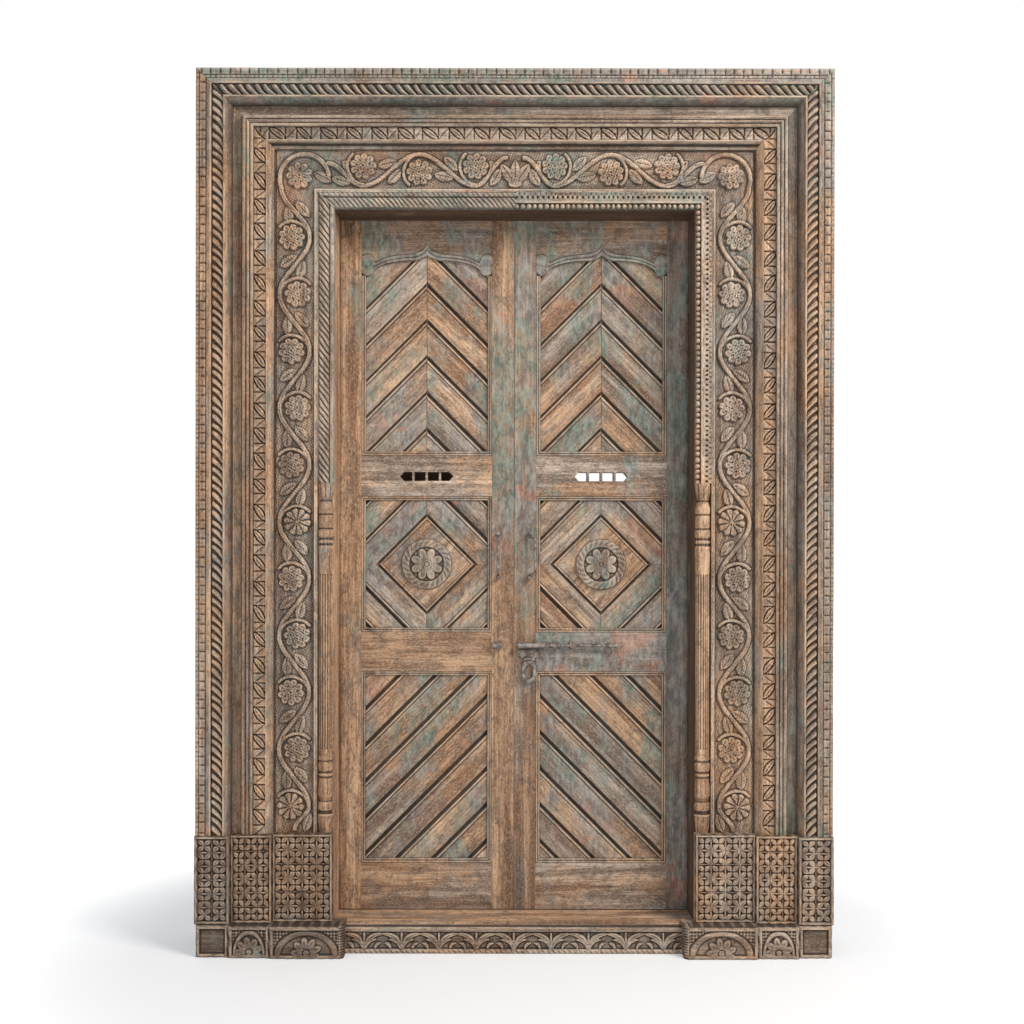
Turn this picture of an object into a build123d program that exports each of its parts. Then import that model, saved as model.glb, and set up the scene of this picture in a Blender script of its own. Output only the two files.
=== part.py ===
"""An old carved double door in its own deep frame, without the wall.

The front looks along -Y. The origin is at the middle of the footprint, on the floor. A height above
the floor is Z, and "front" is always a distance forward of the leaves' front face.
"""

import math
import os

from build123d import *

os.makedirs("parts", exist_ok=True)

# Doorway and leaves
door_half = 520.0
sill_top = 84.0
head_z = 2138.0
leaf_thickness = 45.0
leaf_cover = 10.0
leaf_foot_gap = 3.0
leaf_head_gap = 3.0
rebate_gap = 3.0
meeting_gap = 0.55
meeting_chamfer = 2.5

# Depths in front of the leaves' front face, and the frame behind them
frame_back = 50.0
jamb_front = 118.0
rope_front = 139.0
vine_board_front = 134.0
vine_field_front = 124.0
zigzag_front = 152.0
cove_front = 160.0
surround_front = 180.0
sill_front = 126.0
frieze_front = 159.0
plinth_inner_front = 160.0
plinth_middle_front = 174.0
plinth_outer_front = 188.0
base_inner_front = 210.0
base_middle_front = 204.0
base_outer_front = 196.0

# Widths of the nested mouldings, counted outward from the doorway
rope_width = 47.0
vine_width = 124.0
zigzag_width = 56.0
cove_width = 61.0
surround_width = 100.0

# Feet of the frame
base_height = 92.0
plinth_top = 342.0
column_top = 1348.0
base_overhang = 38.0
frieze_height = 78.0

# Leaf framing, heights above the floor and widths across a leaf
hinge_stile_width = 75.0
meeting_stile_width = 66.0
top_rail_height = 60.0
ogee_drop = 110.0
slot_rail_z = 1318.0
slot_rail_height = 121.0
lock_rail_z = 796.0
lock_rail_height = 116.0
bottom_rail_height = 137.0
panel_recess = 12.0
panel_back_recess = 5.0
board_width = 76.5
board_groove_width = 13.0
board_groove_depth = 6.0
bead_width = 13.0
bead_height = 8.0

# Barred slot
slot_length = 159.0
slot_height = 27.0
slot_point = 12.0
slot_centre_z = 1376.5
slot_cells = 4
slot_bar = 6.0
slot_cover_lap = 12.0
slot_cover_thickness = 4.0

# Wooden pivots
pivot_radius = 12.0
pivot_length = 25.0
pivot_fit = 0.08
pivot_end_gap = 1.0

# Iron
rod_radius = 4.9
rod_length = 308.0
rod_z = 874.0
rod_front = 17.0
rod_fit = 0.5
rod_tip_gap = 3.0
guide_start = 13.0
guide_barrel_radius = 10.5
guide_barrel_length = 78.0
guide_tail_length = 45.0
guide_tail_radius = 7.5
staple_thickness = 5.0
rear_staple_x = 166.0
staple_width = 11.0
keeper_width = 25.0
keeper_x = 37.0
knob_radius = 9.0
knob_length = 30.0
spur_length = 26.0
hasp_width = 66.0
hasp_height = 27.0
hasp_top_z = 862.0
hasp_x = 46.0
hasp_thickness = 3.0
hasp_pin_radius = 2.5
hasp_pin_fit = 0.25
hasp_pin_length = 32.0
hasp_knuckle = 5.5
hasp_knuckle_width = 9.5
hasp_knuckle_gap = 0.5
hasp_eye = 12.0
drop_width = 44.0
drop_height = 72.0
drop_thickness = 5.0
pull_x = 47.0
pull_z = 1140.0
pull_height = 120.0
pull_reach = 28.0
pull_radius = 4.5
pull_pin_radius = 3.5
pull_pin_fit = 0.25
pull_axis_front = 9.0
pull_eye_radius = 7.0
pull_eye_height = 9.0
right_pull_turn = 37.0

# Carving. The bands are cut coarser than on the wood, with fewer and larger cuts of the same form.
notch_depth = 7.0
leaf_carving_pitch = 84.0
rope_pitch = 46.0
zigzag_pitch = 146.0
zigzag_ribbon = 9.0
carving_clear = 0.4
column_facets = 6
column_clear = 0.3
lattice_columns = 4
lattice_rows = 6
lattice_depth = 8.0
lattice_border = 9.0
frieze_stems = 9
frieze_relief = 7.0
frieze_border = 14.0

# Flowers and vine. A flower sits by turns a little outward and a little inward of the board's middle,
# the stem passes it on its other side, and a loop of stem runs round the flower in each corner.
vine_fillet = 10.0
vine_recess = 4.0
flower_radius = 38.0
flower_petals = 5
flower_height = 10.0
flower_shift = 9.0
side_flower_drop = 81.0
side_flower_pitch = 164.0
head_flower_start = 114.0
head_flower_pitch = 162.0
stem_width = 13.0
stem_height = 6.0
loop_radius = 71.0
loop_shift = 15.0
loop_facets = 7
bud_width = 78.0
bud_height = 60.0

# Rosettes
rosette_radius = 75.0
rosette_ring = 11.0
rosette_plate = 4.0
rosette_sides = 12

# Places worked out from the driving dimensions
depth = frame_back + base_inner_front
leaf_face_y = depth / 2 - frame_back
vine_start = rope_width
vine_end = vine_start + vine_width
zigzag_end = vine_end + zigzag_width
cove_end = zigzag_end + cove_width
surround_end = cove_end + surround_width
outer_half = door_half + surround_end
leaf_foot = sill_top + leaf_foot_gap
leaf_head = head_z + leaf_cover - leaf_head_gap
leaf_outer = door_half + leaf_cover
rebate_half = leaf_outer + rebate_gap
pivot_x = leaf_outer - leaf_thickness / 2
panel_inner = meeting_stile_width
panel_outer = leaf_outer - hinge_stile_width
panel_width = panel_outer - panel_inner
panel_middle = (panel_inner + panel_outer) / 2
chevron_foot = slot_rail_z + slot_rail_height
chevron_head = leaf_head - top_rail_height
diamond_foot = lock_rail_z + lock_rail_height
slant_foot = leaf_foot + bottom_rail_height
board_step = board_width * math.sqrt(2)
stem_inner = vine_start + vine_fillet + 14.0
stem_outer = vine_end - vine_recess - 9.0
vine_middle = (stem_inner + stem_outer) / 2


def facing(front):
    """Drawing plane that faces the viewer: x is X, y is Z."""
    return Plane(origin=(0, leaf_face_y - front, 0), x_dir=(1, 0, 0), z_dir=(0, -1, 0))


def box(x0, x1, z0, z1, front0, front1, mode=Mode.ADD):
    """A square block between two X, two heights and two fronts."""
    with BuildSketch(facing(front0)) as outline:
        with Locations(((x0 + x1) / 2, (z0 + z1) / 2)):
            Rectangle(abs(x1 - x0), abs(z1 - z0))
    extrude(outline.sketch, amount=front1 - front0, mode=mode)


# The surround runs up the left, across the head and down the right. On each side s is counted along
# the run, u outward from the doorway, and the front as everywhere.
sides = ("left", "head", "right")
run_start = {
    "left": Vector(-door_half, leaf_face_y, 0),
    "head": Vector(0, leaf_face_y, head_z),
    "right": Vector(door_half, leaf_face_y, 0),
}
run_along = {"left": Vector(0, 0, 1), "head": Vector(1, 0, 0), "right": Vector(0, 0, -1)}
run_out = {"left": Vector(-1, 0, 0), "head": Vector(0, 0, 1), "right": Vector(1, 0, 0)}
forward = Vector(0, -1, 0)


def along_plane(side, front):
    """Faces the viewer, with x along the run and y outward."""
    return Plane(run_start[side] + forward * front, x_dir=run_along[side], z_dir=forward)


def section_plane(side, s):
    """Cuts the run square at s, with x outward and y forward."""
    return Plane(run_start[side] + run_along[side] * s, x_dir=run_out[side], z_dir=run_along[side])


def across_plane(side, u):
    """Stands lengthwise in the run at u, with x along the run and y forward."""
    return Plane(run_start[side] + run_out[side] * u, x_dir=run_along[side], z_dir=-run_out[side])


def run_ends(side, u, foot):
    """Both ends of a run at u: the foot and the mitre, or both mitres."""
    if side == "left":
        return foot, head_z + u
    if side == "head":
        return -(door_half + u), door_half + u
    return -(head_z + u), -foot


def moulding(side, section, foot):
    """A mitred bar with the given section, a list of (u, front) points."""
    near = min(u for u, front in section)
    far = max(u for u, front in section)
    lowest = min(front for u, front in section)
    highest = max(front for u, front in section)
    start, end = run_ends(side, far, foot)
    with BuildSketch(section_plane(side, start)) as profile:
        Polygon(*section)
    extrude(profile.sketch, amount=end - start)
    near_start, near_end = run_ends(side, near, foot)
    with BuildSketch(along_plane(side, lowest)) as mitred:
        Polygon((near_start, near), (near_end, near), (end, far), (start, far))
    extrude(mitred.sketch, amount=highest - lowest, mode=Mode.INTERSECT)


def comb(start, end, count, top, notch_depth):
    """Outline that clears V notches side by side below a face at the height top."""
    step = (end - start) / count
    points = [(start, top + notch_depth)]
    for index in range(count):
        points.append((start + index * step, top - carving_clear))
        points.append((start + (index + 0.5) * step, top - carving_clear - notch_depth))
    points.append((end, top - carving_clear))
    points.append((end, top + notch_depth))
    return points


def cut_notches(side, near, far, top, pitch, foot, slant=0.0):
    """Cut V notches across a band; slant is how far a notch runs along for each step outward."""
    start, end = run_ends(side, far, foot)
    count = round((end - start) / pitch)
    step = (end - start) / count
    width = far - near
    spare = math.ceil(abs(slant) * width / step) + 1
    outline = comb(start - spare * step, end + spare * step, count + 2 * spare, top, notch_depth)
    direction = run_out[side] + run_along[side] * slant
    reach = width * math.hypot(1, slant)
    with BuildSketch(across_plane(side, near)) as notches:
        Polygon(*outline)
    extrude(notches.sketch, amount=reach, dir=direction.normalized(), mode=Mode.SUBTRACT)


def cut_lattice(x0, x1, z0, z1, front, columns, rows):
    """Cut a field into small pyramids with two sets of crossing V notches."""
    upright = Plane((0, leaf_face_y, z0), x_dir=(1, 0, 0), z_dir=(0, 0, -1))
    with BuildSketch(upright) as across:
        Polygon(*comb(min(x0, x1), max(x0, x1), columns, front, lattice_depth))
    extrude(across.sketch, amount=-(z1 - z0), mode=Mode.SUBTRACT)
    level = Plane((min(x0, x1), leaf_face_y, 0), x_dir=(0, 0, 1), z_dir=(1, 0, 0))
    with BuildSketch(level) as along:
        Polygon(*comb(z0, z1, rows, front, lattice_depth))
    extrude(along.sketch, amount=abs(x1 - x0), mode=Mode.SUBTRACT)


def flower_places(side):
    """Flowers along a run, away from the corner ones: (s, whether it is set outward)."""
    if side == "head":
        reach = door_half + vine_start - flower_radius
        count = math.floor((reach - head_flower_start) / head_flower_pitch) + 1
        half = [(head_flower_start + index * head_flower_pitch, index % 2 == 0) for index in range(count)]
        return [(-s, outward) for s, outward in reversed(half)] + half
    highest = head_z - side_flower_drop
    count = math.floor((highest - plinth_top - flower_radius) / side_flower_pitch) + 1
    sign = 1 if side == "left" else -1
    return [(sign * (highest - index * side_flower_pitch), index % 2 == 0) for index in range(count)]


def stem_bends(side):
    """Bends of the vine's stem along a run, as (s, u)."""
    bends = [(s, stem_inner if outward else stem_outer) for s, outward in flower_places(side)]
    if side == "head":
        end = (door_half + stem_width / 2, vine_middle)
        bends.insert(len(bends) // 2, (0, stem_outer))
        return [(-end[0], end[1]), *bends, end]
    sign = 1 if side == "left" else -1
    foot = (sign * (plinth_top + stem_width), vine_middle)
    return [loop_point(side, 0), *bends, foot]


def stem_spine(side):
    """Middle line of the stem: straight past each flower, slanting between them."""
    bends = stem_bends(side)
    spine = [bends[0]]
    for (s0, u0), (s1, u1) in zip(bends, bends[1:]):
        ease = (s1 - s0) * 0.22
        spine += [(s0 + ease, u0), (s1 - ease, u1)]
    return [*spine, bends[-1]]


def loop_point(side, step, offset=0.0):
    """A point of the corner loop, which starts where the side's stem ends, as (s, u)."""
    sign = 1 if side == "left" else -1
    angle = math.radians(-20 + 192 * step / loop_facets)
    reach = loop_radius + offset
    centre_u = stem_outer - loop_radius
    return sign * (head_z + centre_u + reach * math.sin(angle)), centre_u + reach * math.cos(angle)


def star(radius, waist, points, turn=0.0):
    """Corners of a flower outline, alternately at its petals' tips and between them."""
    corners = []
    for index in range(2 * points):
        angle = math.pi * index / points + turn
        reach = radius if index % 2 == 0 else waist
        corners.append((reach * math.cos(angle), reach * math.sin(angle)))
    return corners


def export(part, name):
    """Label one finished piece and write it."""
    part.label = name
    export_step(part, f"parts/{name}.step")


# Frame posts: square timber with a rebate behind for the leaf, standing on the floor.
for side_name, sign in (("left", -1), ("right", 1)):
    with BuildPart() as jamb:
        box(sign * door_half, sign * (door_half + vine_end), 0, head_z, -frame_back, jamb_front)
        box(sign * door_half, sign * rebate_half, 0, head_z, -frame_back, 0, mode=Mode.SUBTRACT)
    export(jamb.part, f"jamb_{side_name}")

# Lintel: lies on the posts, rebated like them, with a blind socket for each upper pivot.
with BuildPart() as lintel:
    lintel_half = door_half + vine_end
    box(-lintel_half, lintel_half, head_z, head_z + vine_end, -frame_back, jamb_front)
    box(-rebate_half, rebate_half, head_z, head_z + leaf_cover, -frame_back, 0, mode=Mode.SUBTRACT)
    socket_plane = Plane((0, leaf_face_y + leaf_thickness / 2, head_z + leaf_cover))
    with BuildSketch(socket_plane):
        with Locations((-pivot_x, 0), (pivot_x, 0)):
            Circle(pivot_radius + pivot_fit)
    extrude(amount=pivot_length, mode=Mode.SUBTRACT)
export(lintel.part, "lintel")

# Threshold: the sill beam between the posts, with the sockets that carry the leaves.
with BuildPart() as threshold:
    box(-door_half, door_half, 0, sill_top, -frame_back, sill_front)
    box(-rebate_half, rebate_half, 0, sill_top, -frame_back, 0)
    with BuildSketch(Plane((0, leaf_face_y + leaf_thickness / 2, sill_top))):
        with Locations((-pivot_x, 0), (pivot_x, 0)):
            Circle(pivot_radius + pivot_fit)
    extrude(amount=-(pivot_length - leaf_foot_gap), mode=Mode.SUBTRACT)
export(threshold.part, "threshold")

# Frieze on the sill: a board with a bead on its upper edge, nine stems of paired leaves between two
# fillets, and a rope cut on its lower edge.
with BuildPart() as threshold_frieze:
    frieze_half = door_half - base_overhang
    frieze_field = frieze_front - frieze_relief
    field_high = frieze_height - frieze_border
    box(-frieze_half, frieze_half, 0, frieze_height, sill_front, frieze_field)
    box(-frieze_half, frieze_half, field_high, frieze_height, frieze_field, frieze_front)
    box(-frieze_half, frieze_half, 0, frieze_border, frieze_field, frieze_front)
    stem_pitch = 2 * frieze_half / frieze_stems
    stem_x = [(index - (frieze_stems - 1) / 2) * stem_pitch for index in range(frieze_stems)]
    stem_length = field_high - frieze_border - 6.0
    stem_foot = frieze_border + 3.0
    spread = stem_pitch * 0.42
    with BuildSketch(facing(frieze_field)):
        for x in stem_x:
            Polygon(
                (x - 4, stem_foot),
                (x - spread, stem_foot + stem_length * 0.9),
                (x - spread * 0.2, stem_foot + stem_length * 0.5),
                (x, stem_foot + stem_length),
                (x + spread * 0.2, stem_foot + stem_length * 0.5),
                (x + spread, stem_foot + stem_length * 0.9),
                (x + 4, stem_foot),
            )
    extrude(amount=frieze_relief - 1.5)
export(threshold_frieze.part, "threshold_frieze")

# Rope moulding next to the doorway: a bevelled bar notched all along on the slant. On the sides it
# stops on the columns' caps.
for side in sides:
    with BuildPart() as rope:
        bevel = 9.0
        section = [
            (0, jamb_front),
            (rope_width, jamb_front),
            (rope_width, rope_front - bevel),
            (rope_width - bevel, rope_front),
            (bevel, rope_front),
            (0, rope_front - bevel),
        ]
        moulding(side, section, column_top)
        rope_slant = -0.75 if side == "head" else 0.75
        cut_notches(side, 0, rope_width, rope_front, rope_pitch, column_top, slant=rope_slant)
    export(rope.part, f"rope_{side}")

# Flower and vine board: a fillet, a sunk field, and on it the vine and the flowers in its bends. The
# corner flowers and the loops round them stand on the side boards and reach over the mitres.
for side in sides:
    with BuildPart() as vine:
        inner_edge = vine_start + vine_fillet
        outer_edge = vine_end - vine_recess
        section = [
            (vine_start, jamb_front),
            (vine_end, jamb_front),
            (vine_end, vine_field_front - 3),
            (outer_edge, vine_field_front - 3),
            (outer_edge, vine_field_front),
            (inner_edge, vine_field_front),
            (inner_edge, vine_board_front),
            (vine_start, vine_board_front),
        ]
        moulding(side, section, plinth_top)
        spine = stem_spine(side)
        half_stem = stem_width / 2
        upper = [(s, u + half_stem) for s, u in spine]
        lower = [(s, u - half_stem) for s, u in reversed(spine)]
        with BuildSketch(along_plane(side, vine_field_front)) as stem:
            Polygon(*upper, *lower)
            if side != "head":
                steps = range(loop_facets + 1)
                outside = [loop_point(side, step, half_stem) for step in steps]
                inside = [loop_point(side, step, -half_stem) for step in reversed(steps)]
                Polygon(*outside, *inside)
        extrude(stem.sketch, amount=stem_height)
        flowers = []
        for s, outward in flower_places(side):
            flowers.append((s, vine_middle + (flower_shift if outward else -flower_shift)))
        if side != "head":
            sign = 1 if side == "left" else -1
            loop_centre = stem_outer - loop_radius
            flowers.append((sign * (head_z + loop_centre + flower_shift), loop_centre + loop_shift))
        with BuildSketch(along_plane(side, vine_field_front)):
            with Locations(*flowers):
                Polygon(*star(flower_radius, flower_radius * 0.76, flower_petals))
        extrude(amount=flower_height)
        if side == "head":
            with BuildSketch(along_plane(side, vine_field_front)):
                with Locations((0, stem_inner)):
                    Polygon(
                        (-bud_width * 0.2, 0),
                        (-bud_width * 0.5, bud_height * 0.55),
                        (-bud_width * 0.22, bud_height * 0.5),
                        (0, bud_height),
                        (bud_width * 0.22, bud_height * 0.5),
                        (bud_width * 0.5, bud_height * 0.55),
                        (bud_width * 0.2, 0),
                        align=None,
                    )
            extrude(amount=flower_height)
    export(vine.part, f"vine_{side}")

# Zigzag bar: a fillet, then a zigzag ribbon standing on a sunk ground.
for side in sides:
    with BuildPart() as zigzag:
        fillet_far = vine_end + 18.0
        ground = zigzag_front - 8.0
        band_far = zigzag_end - 4.0
        section = [
            (vine_end, -frame_back),
            (zigzag_end, -frame_back),
            (zigzag_end, ground),
            (fillet_far, ground),
            (fillet_far, zigzag_front - 4),
            (vine_end, zigzag_front - 4),
        ]
        moulding(side, section, plinth_top)
        start, end = run_ends(side, fillet_far, plinth_top)
        halves = 2 * round((end - start) / zigzag_pitch)
        step = (end - start) / halves
        low = fillet_far + zigzag_ribbon * 0.6
        high = band_far - zigzag_ribbon * 0.6
        spine = [(start + index * step, low if index % 2 == 0 else high) for index in range(halves + 1)]
        with BuildSketch(along_plane(side, ground)):
            upper = [(s, u + zigzag_ribbon / 2) for s, u in spine]
            lower = [(s, u - zigzag_ribbon / 2) for s, u in reversed(spine)]
            Polygon(*upper, *lower)
        extrude(amount=zigzag_front - ground)
    export(zigzag.part, f"zigzag_{side}")

# Reed and cove bar: three reeds side by side, then a hollow under the lip of the surround.
for side in sides:
    with BuildPart() as cove:
        reed = 10.0
        reeds = 3
        hollow = cove_front - 22.0
        section = [(zigzag_end, -frame_back), (cove_end, -frame_back), (cove_end, hollow + 6)]
        section += [(cove_end - 12, hollow), (zigzag_end + reeds * reed + 8, hollow)]
        section += [(zigzag_end + reeds * reed, cove_front - 8)]
        for index in reversed(range(reeds)):
            section.append((zigzag_end + (index + 0.75) * reed, cove_front))
            section.append((zigzag_end + (index + 0.25) * reed, cove_front))
            section.append((zigzag_end + index * reed, cove_front - 5))
        moulding(side, section, plinth_top)
    export(cove.part, f"cove_{side}")

# Outer surround: a lip that rises out of the cove, a band of slanted leaves, a fillet, and the two
# ridges that the rows of small beads are cut from.
for side in sides:
    with BuildPart() as surround:
        lip_rise = 26.0
        lip_far = cove_end + 22.0
        leaf_far = lip_far + 34.0
        fillet_end = leaf_far + 14.0
        fillet_sink = 8.0
        ridge = (surround_end - fillet_end) / 2
        bevel = 3.0
        section = [(cove_end, -frame_back), (surround_end, -frame_back)]
        for far in (surround_end, surround_end - ridge):
            section.append((far, surround_front - bevel))
            section.append((far - bevel, surround_front))
            section.append((far - ridge + bevel, surround_front))
        section += [
            (fillet_end, surround_front - bevel),
            (fillet_end, surround_front - fillet_sink),
            (leaf_far, surround_front - fillet_sink),
            (leaf_far, surround_front),
            (lip_far, surround_front),
            (lip_far, surround_front - fillet_sink),
            (cove_end, surround_front - lip_rise),
        ]
        moulding(side, section, plinth_top)
        cut_notches(side, lip_far, leaf_far, surround_front, leaf_carving_pitch, plinth_top, slant=0.8)
    export(surround.part, f"surround_{side}")


def column_profile():
    """Height and radius at each ridge and hollow of a turned half column, from its foot to its cap."""
    foot = plinth_top
    cap = column_top
    return [
        (foot, 0.80),
        (foot + 52, 1.0),
        (foot + 60, 0.74),
        (foot + 78, 1.0),
        (foot + 96, 0.76),
        (foot + 134, 1.0),
        (foot + 164, 0.76),
        (foot + 230, 0.88),
        (cap - 250, 0.88),
        (cap - 190, 1.0),
        (cap - 172, 0.78),
        (cap - 140, 1.0),
        (cap - 72, 0.98),
        (cap - 50, 0.72),
        (cap, 1.0),
    ]


# Turned half columns: split down the middle and planted flat on the posts, below the rope.
for side_name, sign in (("left", -1), ("right", 1)):
    with BuildPart() as column:
        column_radius = rope_width / 2 - column_clear
        for height, share in column_profile():
            radius = column_radius * share
            turns = [math.pi * step / column_facets for step in range(column_facets + 1)]
            rim = [(radius * math.cos(turn), radius * math.sin(turn)) for turn in turns]
            seat = (sign * (door_half + rope_width / 2), leaf_face_y - jamb_front, height)
            with BuildSketch(Plane(seat, x_dir=(-1, 0, 0), z_dir=(0, 0, 1))):
                Polygon(*rim)
        loft(ruled=True)
    export(column.part, f"column_{side_name}")

# Plinth blocks: one under the column and the vine, one under the zigzag and cove bars, one under the
# surround, each with a lattice of small pyramids cut on its face.
plinths = {
    "inner": (0, vine_end, jamb_front, plinth_inner_front, lattice_columns),
    "middle": (vine_end, cove_end, -frame_back, plinth_middle_front, lattice_columns - 1),
    "outer": (cove_end, surround_end, -frame_back, plinth_outer_front, lattice_columns - 2),
}
for side_name, sign in (("left", -1), ("right", 1)):
    for place, (near, far, back, front, columns) in plinths.items():
        with BuildPart() as plinth:
            x0 = door_half + near
            x1 = door_half + far
            box(sign * x0, sign * x1, base_height, plinth_top, back, front)
            cut_lattice(
                sign * (x0 + lattice_border),
                sign * (x1 - lattice_border),
                base_height + lattice_border,
                plinth_top - lattice_border,
                front,
                columns,
                lattice_rows,
            )
        export(plinth.part, f"plinth_{place}_{side_name}")


def arch_panel(x, z, width, height, front):
    """A raised arch with a half flower under it, standing on the block's sunk field."""
    outer = []
    inner = []
    facets = 5
    rib = 6.0
    for index in range(facets + 1):
        angle = math.pi * index / facets
        outer.append((x + width / 2 * math.cos(angle), z + height * math.sin(angle)))
        inner.append((x + (width / 2 - rib) * math.cos(angle), z + (height - rib) * math.sin(angle)))
    with BuildSketch(facing(front)) as arch:
        Polygon(*outer, *reversed(inner))
        with Locations((x, z + height * 0.4)):
            Polygon(*star(height * 0.34, height * 0.22, 5, turn=math.pi / 2))
    extrude(arch.sketch, amount=6.0)


# Base blocks: three steps in one piece on each side, standing forward of the sill.
for side_name, sign in (("left", -1), ("right", 1)):
    with BuildPart() as base:
        inner_x = door_half - base_overhang
        sink = 6.0
        border = 11.0
        bevel = 14.0
        steps = (
            (inner_x, door_half + vine_end, jamb_front, base_inner_front),
            (door_half + vine_end, door_half + cove_end, -frame_back, base_middle_front),
            (door_half + cove_end, outer_half - 6.0, -frame_back, base_outer_front),
        )
        with BuildSketch(Plane.XY):
            Polygon(
                (sign * inner_x, leaf_face_y - base_inner_front + bevel),
                (sign * (inner_x + bevel), leaf_face_y - base_inner_front),
                (sign * (door_half + vine_end), leaf_face_y - base_inner_front),
                (sign * (door_half + vine_end), leaf_face_y - jamb_front),
                (sign * door_half, leaf_face_y - jamb_front),
                (sign * door_half, leaf_face_y - sill_front),
                (sign * inner_x, leaf_face_y - sill_front),
            )
        extrude(amount=base_height)
        for x0, x1, back, front in steps[1:]:
            box(sign * x0, sign * x1, 0, base_height, back, front)
        for index, (x0, x1, back, front) in enumerate(steps):
            near = sign * (x0 + border + (bevel if index == 0 else 0))
            far = sign * (x1 - border)
            top = base_height - border
            box(near, far, border, top, front - sink, front, mode=Mode.SUBTRACT)
            if index < 2:
                arch_panel((near + far) / 2, border, abs(far - near) - 16, top - border - 5, front - sink)
    export(base.part, f"base_{side_name}")


def leaf_box(sign, x0, x1, z0, z1, front0, front1, mode=Mode.ADD):
    """A block of one leaf, given as distances from the meeting line."""
    return box(sign * x0, sign * x1, z0, z1, front0, front1, mode=mode)


def panel_boards(sign, z0, z1):
    """The boards of one panel, before they are grooved."""
    back = panel_back_recess - leaf_thickness
    return leaf_box(sign, panel_inner, panel_outer, z0, z1, back, -panel_recess)


def planted_bead(sign, z0, z1, open_head=False):
    """A square-edged bead round a panel's boards, let into their grooves; open below the ogee."""
    inner_head = z1 if open_head else z1 - bead_width
    with BuildSketch(facing(-panel_recess - board_groove_depth)) as ring:
        with Locations((sign * panel_middle, (z0 + z1) / 2)):
            Rectangle(panel_width, z1 - z0)
        with Locations((sign * panel_middle, (z0 + bead_width + inner_head) / 2)):
            Rectangle(panel_width - 2 * bead_width, inner_head - z0 - bead_width, mode=Mode.SUBTRACT)
    extrude(ring.sketch, amount=board_groove_depth + bead_height)


def ogee_height(out):
    """Lower edge of the apron, as a share of its drop, from the panel's middle out to its edge.

    It falls in a hollow from its point, swells out like a shoulder, and ends in a round lobe."""
    if out < 0.21:
        return 0.41 + 0.14 * (1 - out / 0.21) ** 2
    if out < 0.82:
        return 0.08 + 0.33 * math.sqrt(1 - ((out - 0.21) / 0.61) ** 2)
    return 0.12 - 0.12 * math.sqrt(1 - min(1, abs(out - 0.91) / 0.09) ** 2)


def board_grooves(lines):
    """Cut V grooves along straight lines given as pairs of (X, Z) ends."""
    for start, end in lines:
        run = Vector(end[0] - start[0], 0, end[1] - start[1])
        origin = Vector(start[0], leaf_face_y + panel_recess, start[1])
        half = board_groove_width / 2
        section = Plane(origin, x_dir=forward.cross(run).normalized(), z_dir=run.normalized())
        with BuildSketch(section) as groove:
            Polygon((-half, 0), (0, -board_groove_depth), (half, 0), (half, 1), (-half, 1))
        extrude(groove.sketch, amount=run.length, mode=Mode.SUBTRACT)


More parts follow.
